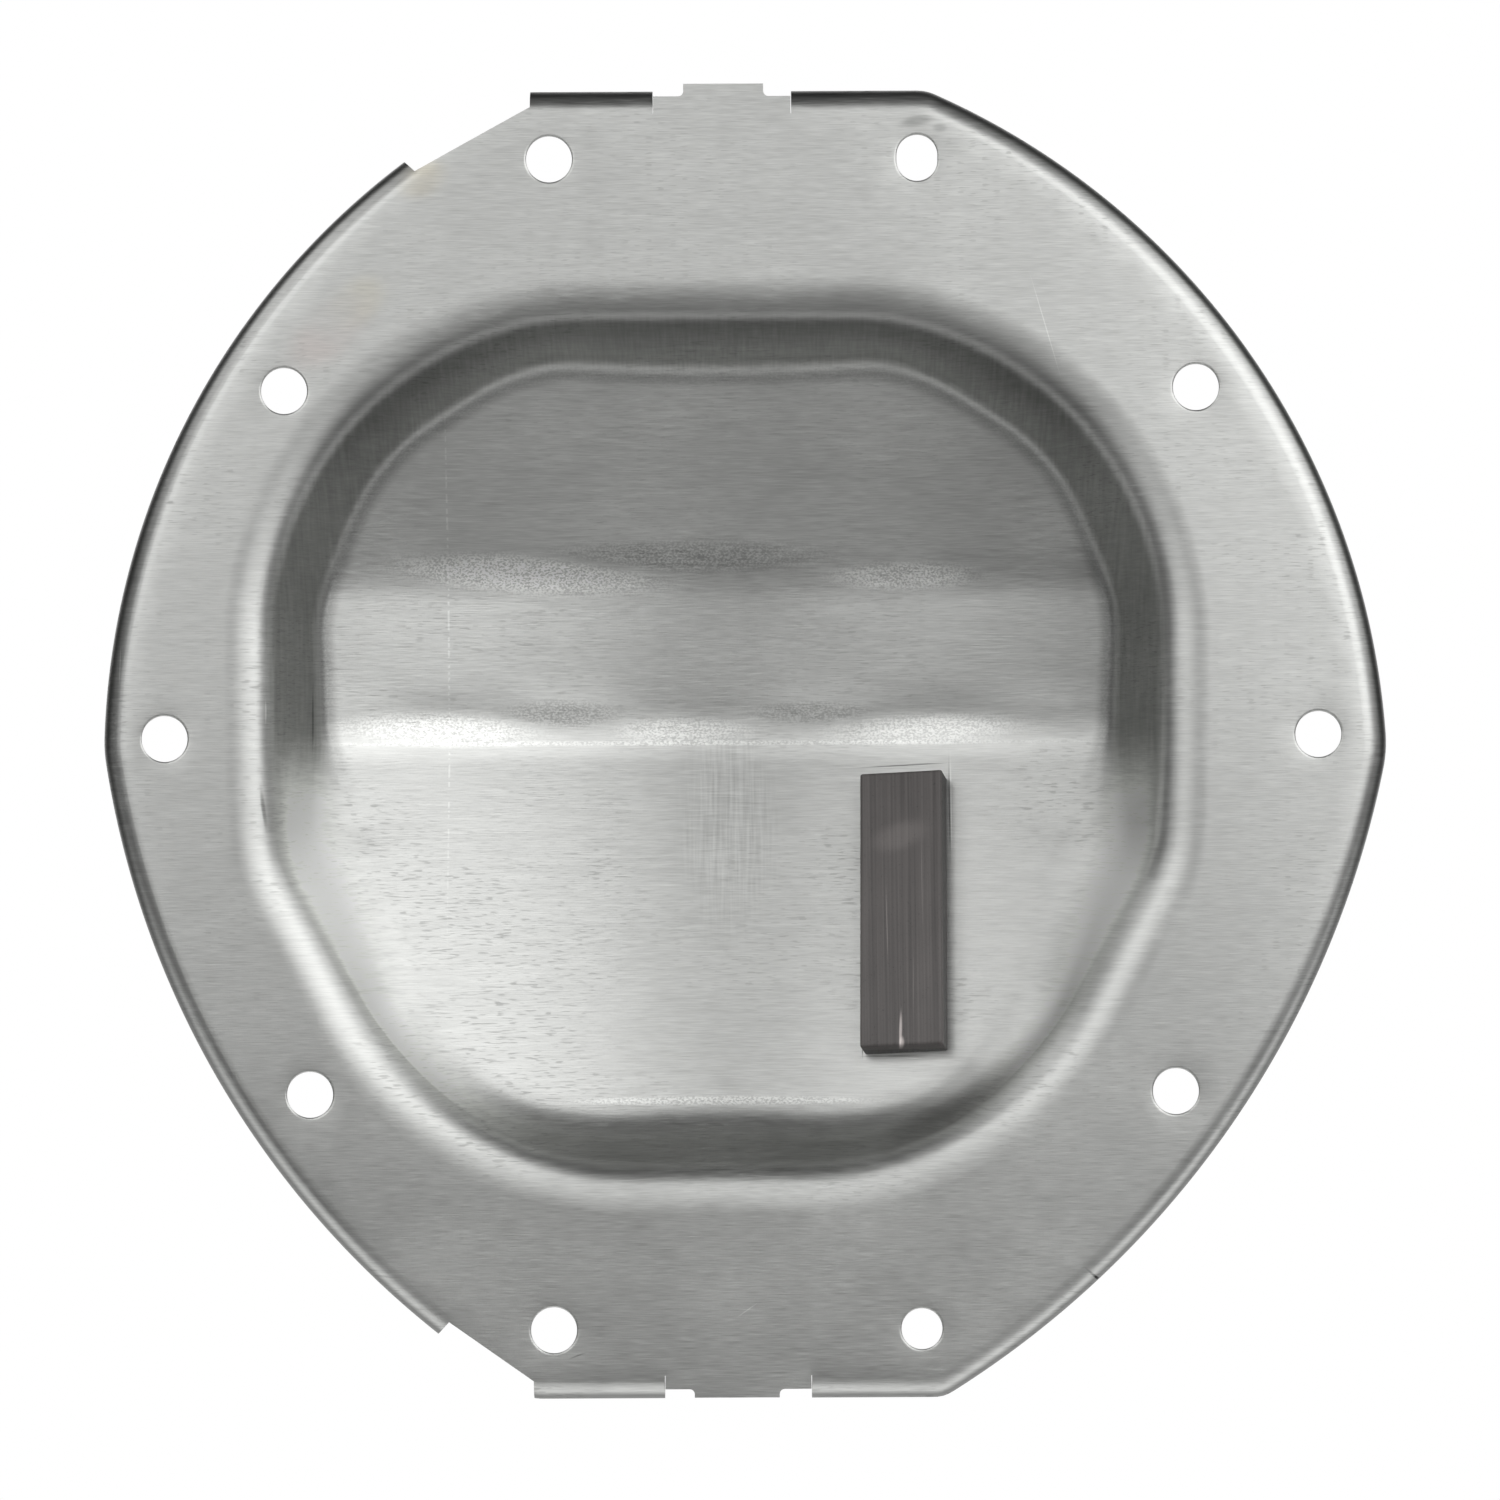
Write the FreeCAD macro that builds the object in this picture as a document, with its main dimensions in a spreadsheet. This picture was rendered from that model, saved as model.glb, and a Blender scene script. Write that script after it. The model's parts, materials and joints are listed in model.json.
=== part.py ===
import FreeCAD, Part
import math
import os
import Sketcher
from FreeCAD import Placement, Rotation, Vector

# Differential cover: one sheet of steel pressed to an offset dish, with its rim turned back and ten
# holes for screws, and a ferrite bar magnet in a coined seat on the dish floor.
# X runs across the cover and Z up it. Y runs from the mating face into the dish, away from the axle.
# The origin is midway between the two holes of the middle row, on the mating face. All sizes in mm.

# Each driving size: its name in the sheet, its value and what it measures
SIZES = [
    ("sheet_thickness", 3.0, "thickness of the steel"),
    ("lip_height", 8.0, "mating face to the free edge of the turned lip"),
    ("lip_bend_radius", 5.0, "outside of the bend between flange and lip"),
    ("hole_diameter", 9.2, "clearance hole for an 8 mm or 5/16 inch screw"),
    ("dowel_hole_diameter", 8.2, "close hole that places the cover, bottom right"),
    ("dowel_slot_width", 8.2, "width of the slot that places the cover, top right"),
    ("dowel_slot_height", 9.2, "height of that slot"),
    ("left_column", -38.0, "top left and bottom left holes"),
    ("right_column", 35.6, "top right slot and bottom right hole"),
    ("top_row", 115.6, "height of the top holes"),
    ("bottom_row", -118.6, "height of the bottom holes"),
    ("middle_row_half_span", 115.4, "half the spacing of the middle pair"),
    ("upper_row", 69.5, "height of the upper pair"),
    ("upper_row_step_in", 24.2, "each hole of the upper pair, in from the middle pair"),
    ("lower_row", -71.3, "height of the lower pair"),
    ("lower_row_step_in", 28.8, "each hole of the lower pair, in from the middle pair"),
    ("top_margin", 14.0, "top holes to the flat at the top of the rim"),
    ("bottom_margin", 14.2, "bottom holes to the flat at the bottom of the rim"),
    ("right_margin", 14.2, "middle right hole to the widest point of the rim"),
    ("left_margin", 12.6, "middle left hole to the widest point of the rim"),
    ("right_point_height", -3.4, "height of the widest point on the right"),
    ("left_point_height", -2.3, "height of the widest point on the left"),
    ("top_right_shoulder", 37.6, "where the top flat meets the right side"),
    ("top_left_shoulder", -44.5, "where the top flat meets the left side"),
    ("bottom_right_shoulder", 40.1, "where the bottom flat meets the right side"),
    ("bottom_left_shoulder", -42.6, "where the bottom flat meets the left side"),
    ("upper_right_bulge", 0.2516, "rim above the right point: how far its arc stands out for each mm of run"),
    ("upper_left_bulge", 0.2614, "rim above the left point: how far its arc stands out for each mm across"),
    ("lower_right_bulge", 0.1872, "rim below the right point: how far its arc stands out for each mm of run"),
    ("lower_left_bulge", 0.2062, "rim below the left point: how far its arc stands out for each mm across"),
    ("side_corner_radius", 26.0, "rounding at the left and right points"),
    ("upper_corner_radius", 8.0, "rounding at the top shoulders"),
    ("lower_corner_radius", 6.0, "rounding at the bottom shoulders"),
    ("top_window_left", -17.3, "left end of the gap in the top lip"),
    ("top_window_right", 10.5, "right end of that gap"),
    ("top_tab_left", -11.1, "left side of the top tab"),
    ("top_tab_right", 4.9, "right side of the top tab"),
    ("top_tab_rise", 1.0, "how far the top tab stands past the rim"),
    ("top_notch_depth", 1.5, "how far the notches reach in from the rim"),
    ("bottom_window_left", -15.9, "left end of the gap in the bottom lip"),
    ("bottom_window_right", 13.6, "right end of that gap"),
    ("bottom_tab_left", -9.9, "left side of the bottom tab"),
    ("bottom_tab_right", 7.1, "right side of the bottom tab"),
    ("bottom_tab_drop", 0.6, "how far the bottom tab stays inside the rim"),
    ("bottom_notch_depth", 2.3, "how far the notches reach in from the rim"),
    ("notch_corner_radius", 1.0, "rounding in the notches"),
    ("upper_cut_run", 20.4, "upper corner cut: shoulder to the cut's inner corner, across"),
    ("upper_cut_fall", 16.2, "rim down to that corner"),
    ("upper_cut_lip_end", 2.7, "shoulder to the end of the top lip"),
    ("upper_cut_step", 3.5, "rim down to the sheared edge at that end"),
    ("upper_cut_angle", 43.7, "slope of the sheared end of the side lip, in degrees"),
    ("lower_cut_run", 16.4, "lower corner cut: shoulder to the cut's inner corner, across"),
    ("lower_cut_fall", 15.9, "rim up to that corner"),
    ("lower_cut_lip_end", 0.5, "shoulder to the end of the bottom lip"),
    ("lower_cut_step", 4.0, "rim up to the sheared edge at that end"),
    ("lower_cut_angle", 48.7, "slope of the sheared end of the side lip, in degrees"),
    ("dish_centre", -4.9, "centre line of the dish, left of the holes' centre line"),
    ("side_land", 25.2, "middle pair's half span to half the width of the dish's mouth"),
    ("top_land", 31.7, "top holes down to the mouth"),
    ("bottom_land", 31.3, "bottom holes up to the mouth"),
    ("dish_side_corner", -26.0, "height where the sides of the mouth turn in towards the bottom"),
    ("dish_slant_run", 34.6, "how far each slanting side comes in, before its corners are rounded"),
    ("dish_upper_rounding", 0.856, "upper corners: radius for each mm of half the width at full depth"),
    ("dish_side_radius", 28.0, "corners where the sides turn in"),
    ("dish_lower_rounding", 1.644, "lower corners: radius for each mm of half the foot at full depth"),
    ("wall_draft", 18.0, "slope of the top, side and bottom walls, in degrees"),
    ("slant_draft", 27.0, "slope of the two slanting lower walls, in degrees"),
    ("mouth_radius", 8.0, "bend from flange to wall, on the mating side"),
    ("floor_radius", 7.0, "bend from wall to floor, inside the dish"),
    ("floor_depth", 42.5, "depth of the dish, at the lower crease on its centre line"),
    ("floor_top_depth", 23.0, "depth of the floor plane at the top wall"),
    ("floor_bottom_depth", 14.9, "depth of the floor plane at the bottom wall"),
    ("crown_rise", 21.5, "how much shallower the floor is at the sides than on the centre line"),
    ("upper_crease", 33.5, "height of the upper crease"),
    ("upper_crease_rise", 2.5, "how much shallower the floor is there than at the lower crease"),
    ("upper_crease_radius", 42.0, "roundness of the upper crease"),
    ("lower_crease", -0.2, "height of the lower crease"),
    ("lower_crease_radius", 27.0, "roundness of the lower crease"),
    ("magnet_width", 17.0, "magnet across the cover"),
    ("magnet_length", 58.0, "magnet along the slope of the floor"),
    ("magnet_thickness", 6.4, "magnet off the floor"),
    ("magnet_edge", 0.4, "chamfer round the magnet's face"),
    ("magnet_turn", 1.0, "turn of the magnet in its seat, in degrees"),
    ("magnet_drop", 0.9, "how far the magnet lies below the middle of its seat"),
    ("seat_offset", 38.4, "magnet seat right of the dish's centre line"),
    ("seat_height", -35.8, "height of the seat's centre"),
    ("seat_side_gap", 0.7, "seat wider than the magnet"),
    ("seat_end_gap", 4.0, "seat longer than the magnet"),
    ("seat_depth", 0.2, "depth of the coining at the seat's centre"),
]

# Lengths that only have to reach past the metal they cut
CLEAR = 20.0
# How far the block of the dish reaches past its deepest point
MARGIN = 2.0
# How far the end of an edge may lie from the corner that it is looked up by
NEAR = 0.5
# How far the edge of a crease may lie from the crease's height, because the outer one moves with the sheet
CREASE_SHIFT = 3.0
# How far two lengths or directions that count as the same may differ
SLACK = 0.01
# Turn of the floor's profile about its axis, half to each side, in degrees
FLOOR_TURN = 120
# A cut that takes less than this, in cubic mm, has missed the metal
LEAST_CUT = 1.0

doc = FreeCAD.newDocument("differential_cover")
sheet = doc.addObject("Spreadsheet::Sheet", "Sizes")
for row, (alias, value, note) in enumerate(SIZES, start=1):
    sheet.set(f"A{row}", note)
    sheet.set(f"B{row}", str(value))
    sheet.setAlias(f"B{row}", alias)
doc.recompute()


class Size:
    """A number in mm or degrees, kept together with the formula that gives it from the sheet."""

    def __init__(self, value, formula):
        self.value = value
        self.formula = formula

    def __add__(self, other):
        other = as_size(other)
        return Size(self.value + other.value, f"({self.formula} + {other.formula})")

    def __sub__(self, other):
        other = as_size(other)
        return Size(self.value - other.value, f"({self.formula} - {other.formula})")

    def __mul__(self, other):
        other = as_size(other)
        return Size(self.value * other.value, f"({self.formula} * {other.formula})")

    def __truediv__(self, other):
        other = as_size(other)
        return Size(self.value / other.value, f"({self.formula} / {other.formula})")

    def __neg__(self):
        return Size(-self.value, f"(-1 * {self.formula})")


def as_size(number):
    """A plain number as a Size, so that it can take part in a formula."""
    return number if isinstance(number, Size) else Size(float(number), f"{float(number)}")


def size(alias):
    """One of the driving sizes."""
    return Size(float(sheet.get(alias)), f"Sizes.{alias}")


def cosine(angle):
    """Cosine of an angle in degrees."""
    return Size(math.cos(math.radians(angle.value)), f"cos({angle.formula})")


def sine(angle):
    """Sine of an angle in degrees."""
    return Size(math.sin(math.radians(angle.value)), f"sin({angle.formula})")


def tangent(angle):
    """Tangent of an angle in degrees."""
    return Size(math.tan(math.radians(angle.value)), f"tan({angle.formula})")


# Places that follow from the driving sizes
rim_top = size("top_row") + size("top_margin")
rim_bottom = size("bottom_row") - size("bottom_margin")
right_point = size("middle_row_half_span") + size("right_margin")
left_point = -(size("middle_row_half_span") + size("left_margin"))
dish_half_width = size("middle_row_half_span") - size("side_land")
dish_bottom_half_width = dish_half_width - size("dish_slant_run")
dish_top = size("top_row") - size("top_land")
dish_bottom = size("bottom_row") + size("bottom_land")
upper_crease_depth = size("floor_depth") - size("upper_crease_rise")
crown_radius = (dish_half_width * dish_half_width / size("crown_rise") + size("crown_rise")) / 2


def bind(feature, **properties):
    """Sets properties of a feature and ties each to its formula."""
    for name, given in properties.items():
        setattr(feature, name, given.value)
        feature.setExpression(name, given.formula)


def origin_plane(body, role):
    """One of a body's own origin planes."""
    return next(feature for feature in body.Origin.OriginFeatures if feature.Role == role)


def new_sketch(body, name, plane):
    """An empty sketch on one of the body's own origin planes."""
    sketch = body.newObject("Sketcher::SketchObject", name)
    sketch.AttachmentSupport = [(origin_plane(body, plane), "")]
    sketch.MapMode = "FlatFace"
    return sketch


def constrain(sketch, name, given, *constraint):
    """Adds a dimension to a sketch and ties it to its formula."""
    index = sketch.addConstraint(Sketcher.Constraint(*constraint, given.value))
    sketch.renameConstraint(index, name)
    sketch.setExpression(f"Constraints.{name}", given.formula)


def arc_between(start, end, radius):
    """The arc from start to end that bulges to the right of the way from one to the other."""
    chord = end - start
    half = chord.Length / 2
    inward = Vector(-chord.y, chord.x, 0).normalize()
    centre = (start + end) * 0.5 + inward * math.sqrt(max(0.0, radius ** 2 - half ** 2))
    first = math.atan2(start.y - centre.y, start.x - centre.x)
    last = math.atan2(end.y - centre.y, end.x - centre.x)
    if last < first:
        last += 2 * math.pi
    return Part.ArcOfCircle(Part.Circle(centre, Vector(0, 0, 1), radius), first, last)


def draw_outline(sketch, corners):
    """Adds a closed outline, counter-clockwise, from corners of (name, across, up) or, where the
    edge that starts there is an arc, (name, across, up, radius)."""
    points = [Vector(corner[1].value, corner[2].value, 0) for corner in corners]
    first = sketch.GeometryCount
    for i, corner in enumerate(corners):
        start, end = points[i], points[(i + 1) % len(points)]
        if len(corner) == 4:
            sketch.addGeometry(arc_between(start, end, corner[3].value), False)
        else:
            sketch.addGeometry(Part.LineSegment(start, end), False)
    for i, corner in enumerate(corners):
        edge = first + i
        edge_before = first + (i - 1) % len(corners)
        sketch.addConstraint(Sketcher.Constraint("Coincident", edge_before, 2, edge, 1))
        constrain(sketch, f"{corner[0]}_across", corner[1], "DistanceX", -1, 1, edge, 1)
        constrain(sketch, f"{corner[0]}_up", corner[2], "DistanceY", -1, 1, edge, 1)
        if len(corner) == 4:
            constrain(sketch, f"{corner[0]}_radius", corner[3], "Radius", edge)


def draw_circle(sketch, name, across, up, diameter):
    """A circle placed from the sketch's origin."""
    circle = Part.Circle(Vector(across.value, up.value, 0), Vector(0, 0, 1), diameter.value / 2)
    index = sketch.addGeometry(circle, False)
    constrain(sketch, f"{name}_across", across, "DistanceX", -1, 1, index, 3)
    constrain(sketch, f"{name}_up", up, "DistanceY", -1, 1, index, 3)
    constrain(sketch, f"{name}_diameter", diameter, "Diameter", index)


def draw_slot(sketch, across, up, width, height):
    """An upright slot with round ends, placed by its centre."""
    radius = width / 2
    half_straight = (height - width) / 2
    first = sketch.GeometryCount
    for turn, centre_up in ((0, up + half_straight), (math.pi, up - half_straight)):
        circle = Part.Circle(Vector(across.value, centre_up.value, 0), Vector(0, 0, 1), radius.value)
        sketch.addGeometry(Part.ArcOfCircle(circle, turn, turn + math.pi), False)
    for side in (-1, 1):
        top = Vector(across.value + side * radius.value, (up + half_straight).value, 0)
        bottom = Vector(across.value + side * radius.value, (up - half_straight).value, 0)
        sketch.addGeometry(Part.LineSegment(top, bottom), False)
    upper, lower, left, right = range(first, first + 4)
    ends = ((upper, "slot_upper", up + half_straight), (lower, "slot_lower", up - half_straight))
    for arc, name, centre_up in ends:
        constrain(sketch, f"{name}_across", across, "DistanceX", -1, 1, arc, 3)
        constrain(sketch, f"{name}_up", centre_up, "DistanceY", -1, 1, arc, 3)
    constrain(sketch, "slot_radius", radius, "Radius", upper)
    sketch.addConstraint(Sketcher.Constraint("Equal", upper, lower))
    for line, line_end, arc, arc_end in ((left, 1, upper, 2), (left, 2, lower, 1),
                                         (right, 1, upper, 1), (right, 2, lower, 2)):
        sketch.addConstraint(Sketcher.Constraint("Tangent", line, line_end, arc, arc_end))


def pad(body, sketch, name, length):
    """Material from a front sketch back along +Y."""
    feature = body.newObject("PartDesign::Pad", name)
    feature.Profile = sketch
    feature.Reversed = True
    bind(feature, Length=length)
    doc.recompute()
    return feature


def pocket(body, sketch, name):
    """A cut from a front sketch right through the cover along +Y."""
    before = body.Tip.Shape.Volume
    feature = body.newObject("PartDesign::Pocket", name)
    feature.Profile = sketch
    feature.Type = "ThroughAll"
    feature.Midplane = True
    doc.recompute()
    if feature.Shape.Volume > before - LEAST_CUT:
        raise RuntimeError(f"{name} cuts nothing")
    return feature


def edge_names(shape, wanted):
    """The names of a shape's edges that pass a test."""
    return [f"Edge{i}" for i, edge in enumerate(shape.Edges, start=1) if wanted(edge)]


def fillet(body, name, wanted, radius):
    """Rounds the edges of the body's last feature that pass a test."""
    base = body.Tip
    names = edge_names(base.Shape, wanted)
    if not names:
        raise RuntimeError(f"{name} finds no edges")
    feature = body.newObject("PartDesign::Fillet", name)
    feature.Base = (base, names)
    bind(feature, Radius=radius)
    doc.recompute()
    return feature


def runs_back(edge):
    """True for an edge that leads from front to back rather than along the front."""
    ends = [vertex.Point.y for vertex in edge.Vertexes]
    return len(ends) == 2 and abs(ends[0] - ends[1]) > edge.Length / 2


def ends_near(edge, across, up, reach):
    """True where one end of an edge is near a point of the front view."""
    gaps = (math.hypot(v.Point.x - across.value, v.Point.z - up.value) for v in edge.Vertexes)
    return min(gaps) < reach


def lies_at_depth(edge, depth):
    """True where a whole edge lies at one depth."""
    box = edge.BoundBox
    return abs(box.YMin - depth) < SLACK and abs(box.YMax - depth) < SLACK


def dish_outline(grow, depth):
    """Corners of the dish at a depth, with each wall moved outwards by grow, square to itself."""
    wall_step = grow / cosine(size("wall_draft")) - depth * tangent(size("wall_draft"))
    slant_step = grow / cosine(size("slant_draft")) - depth * tangent(size("slant_draft"))
    run = dish_half_width - dish_bottom_half_width
    rise = size("dish_side_corner") - dish_bottom
    slant = Size(math.hypot(run.value, rise.value), f"sqrt({run.formula} ^ 2 + {rise.formula} ^ 2)")
    half_width = dish_half_width + wall_step
    top = dish_top + wall_step
    bottom = dish_bottom - wall_step
    side_corner = size("dish_side_corner") + (rise * wall_step - slant * slant_step) / run
    bottom_half = dish_bottom_half_width + (slant * slant_step - run * wall_step) / rise
    middle_line = size("dish_centre")
    return [
        ("top_right", middle_line + half_width, top),
        ("top_left", middle_line - half_width, top),
        ("side_left", middle_line - half_width, side_corner),
        ("bottom_left", middle_line - bottom_half, bottom),
        ("bottom_right", middle_line + bottom_half, bottom),
        ("side_right", middle_line + half_width, side_corner),
    ]


def crown_corners(deeper):
    """Side profile of all that lies beyond the dish floor, measured from the axis that the floor
    is turned about. The floor is moved back by a distance, square to itself."""
    axis_to_front = crown_radius - size("floor_depth")
    stations = [
        ("top", dish_top, size("floor_top_depth")),
        ("upper", size("upper_crease"), upper_crease_depth),
        ("lower", size("lower_crease"), size("floor_depth")),
        ("bottom", dish_bottom, size("floor_bottom_depth")),
    ]
    slopes = [(b[2] - a[2]) / (a[1] - b[1]) for a, b in zip(stations, stations[1:])]

    def shifted(station, slope):
        """Depth of one floor line at a station after it moves back square to itself."""
        steepness = Size(math.sqrt(1 + slope.value ** 2), f"sqrt(1 + {slope.formula} ^ 2)")
        return station[2] + deeper * steepness

    upper_line = shifted(stations[1], slopes[0])
    upper_next = shifted(stations[1], slopes[1])
    lower_line = shifted(stations[2], slopes[1])
    lower_next = shifted(stations[2], slopes[2])
    upper_step = (upper_line - upper_next) / (slopes[1] - slopes[0])
    lower_step = (lower_line - lower_next) / (slopes[2] - slopes[1])
    upper_z = stations[1][1] - upper_step
    upper_y = upper_line + upper_step * slopes[0]
    lower_z = stations[2][1] - lower_step
    lower_y = lower_line + lower_step * slopes[1]
    top_z = stations[0][1] + CLEAR
    top_y = shifted(stations[0], slopes[0]) - slopes[0] * CLEAR
    bottom_z = stations[3][1] - CLEAR
    bottom_y = shifted(stations[3], slopes[2]) + slopes[2] * CLEAR
    far = crown_radius + size("floor_depth") + CLEAR * 2
    return [
        ("far_bottom", far, bottom_z),
        ("far_top", far, top_z),
        ("floor_top", axis_to_front + top_y, top_z),
        ("upper_crease", axis_to_front + upper_y, upper_z),
        ("lower_crease", axis_to_front + lower_y, lower_z),
        ("floor_bottom", axis_to_front + bottom_y, bottom_z),
    ]


def is_crown(face):
    """True for the faces of the dish floor, which are all turned about an upright axis."""
    axis = getattr(face.Surface, "Axis", None)
    return not isinstance(face.Surface, Part.Plane) and axis is not None and abs(axis.z) > 1 - SLACK


def solid_between(near_corners, near_depth, far_corners, far_depth):
    """A flat-sided solid between two outlines whose edges are parallel, one at each depth."""
    near = [Vector(corner[1].value, near_depth, corner[2].value) for corner in near_corners]
    far = [Vector(corner[1].value, far_depth, corner[2].value) for corner in far_corners]
    loops = [near, far]
    for i, corner in enumerate(near):
        after = (i + 1) % len(near)
        loops.append([corner, near[after], far[after], far[i]])
    faces = [Part.Face(Part.makePolygon(loop + loop[:1])) for loop in loops]
    return Part.makeSolid(Part.makeShell(faces))


def is_level(edge, height):
    """True for an edge that lies at one height."""
    box = edge.BoundBox
    return abs(box.ZMin - height) < CREASE_SHIFT and abs(box.ZMax - height) < CREASE_SHIFT


def is_floor_edge(shape, edge):
    """True for an edge between the dish floor and a wall."""
    return sum(is_crown(face) for face in shape.ancestorsOfType(edge, Part.Face)) == 1


def make_dish(name, grow):
    """The space in the dish, or with grow, that space and the steel round it: a block with leaning
    walls and rounded corners, cut off by the crowned and creased floor."""
    block_depth = size("floor_depth") + grow + MARGIN
    full_depth = size("floor_depth") + size("sheet_thickness") + MARGIN
    deep_corners = dish_outline(as_size(0), full_depth)
    half_at_depth = {name: across - size("dish_centre") for name, across, up in deep_corners}
    corners = dish_outline(grow, as_size(0))
    block = doc.addObject("Part::Feature", f"{name}_block")
    block.Shape = solid_between(corners, 0, dish_outline(grow, block_depth), block_depth.value)
    body = doc.addObject("PartDesign::Body", name)
    body.BaseFeature = block
    doc.recompute()

    def round_corners(places, radius):
        """Rounds the two upright edges of the block that start at these corners of the mouth."""
        here = [corner for corner in corners if corner[0].startswith(places)]
        fillet(body, f"{name}_{places}_corners",
               lambda e: runs_back(e) and any(ends_near(e, c[1], c[2], NEAR) for c in here),
               radius + grow)

    round_corners("top", half_at_depth["top_right"] * size("dish_upper_rounding"))
    round_corners("side", size("dish_side_radius"))
    round_corners("bottom", half_at_depth["bottom_right"] * size("dish_lower_rounding"))
    profile = new_sketch(body, f"{name}_floor_profile", "YZ_Plane")
    axis_depth = size("floor_depth") - crown_radius
    profile.AttachmentOffset = Placement(
        Vector(axis_depth.value, 0, size("dish_centre").value), Rotation())
    profile.setExpression("AttachmentOffset.Base.x", axis_depth.formula)
    profile.setExpression("AttachmentOffset.Base.z", size("dish_centre").formula)
    draw_outline(profile, crown_corners(grow))
    cut = body.newObject("PartDesign::Groove", f"{name}_floor")
    cut.Profile = profile
    cut.ReferenceAxis = (profile, ["V_Axis"])
    cut.Midplane = True
    cut.Angle = FLOOR_TURN
    doc.recompute()
    for crease in ("upper_crease", "lower_crease"):
        fillet(body, f"{name}_{crease}", lambda e: is_level(e, size(crease).value), size(f"{crease}_radius"))
    edge_radius = size("floor_radius") + grow
    fillet(body, f"{name}_floor_edge", lambda e: is_floor_edge(body.Tip.Shape, e), edge_radius)
    return body


def arc_radius(start, end, bulge):
    """Radius of an arc between two places that stands out from their line by a share of its run."""
    run = start[0] - end[0]
    rise = start[1] - end[1]
    stand = run * bulge
    return ((run * run + rise * rise) / 4 + stand * stand) / (stand * 2)


def rim_corners():
    """The outline of the rim before its windows and corners are cut, counter-clockwise."""
    left = (left_point, size("left_point_height"))
    right = (right_point, size("right_point_height"))
    top_left = (size("top_left_shoulder"), rim_top)
    top_right = (size("top_right_shoulder"), rim_top)
    bottom_left = (size("bottom_left_shoulder"), rim_bottom)
    bottom_right = (size("bottom_right_shoulder"), rim_bottom)
    return [
        ("top_right", *top_right),
        ("top_left", *top_left, arc_radius(top_left, left, size("upper_left_bulge"))),
        ("left_point", *left, arc_radius(bottom_left, left, size("lower_left_bulge"))),
        ("bottom_left", *bottom_left),
        ("bottom_right", *bottom_right, arc_radius(right, bottom_right, size("lower_right_bulge"))),
        ("right_point", *right, arc_radius(right, top_right, size("upper_right_bulge"))),
    ]


def make_flange(body):
    """The flat flange with its rim turned back all round."""
    outline = new_sketch(body, "rim_outline", "XZ_Plane")
    corners = rim_corners()
    draw_outline(outline, corners)
    pad(body, outline, "rim_blank", size("lip_height"))
    groups = (("points", "_point", "side_corner_radius"), ("shoulders_above", "top_", "upper_corner_radius"),
              ("shoulders_below", "bottom_", "lower_corner_radius"))
    for name, mark, alias in groups:
        here = [corner for corner in corners if mark in corner[0]]
        fillet(body, f"rim_{name}",
               lambda e: runs_back(e) and any(ends_near(e, c[1], c[2], NEAR) for c in here), size(alias))
    fillet(body, "lip_bend", lambda e: lies_at_depth(e, 0), size("lip_bend_radius"))
    blank = body.Tip
    shell = body.newObject("PartDesign::Thickness", "lip")
    lip_edge = size("lip_height").value
    back = [f"Face{i}" for i, face in enumerate(blank.Shape.Faces, start=1)
            if abs(face.BoundBox.YMin - lip_edge) < SLACK]
    shell.Base = (blank, back)
    shell.Reversed = True
    shell.Join = 0
    bind(shell, Value=size("sheet_thickness"))
    doc.recompute()


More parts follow.
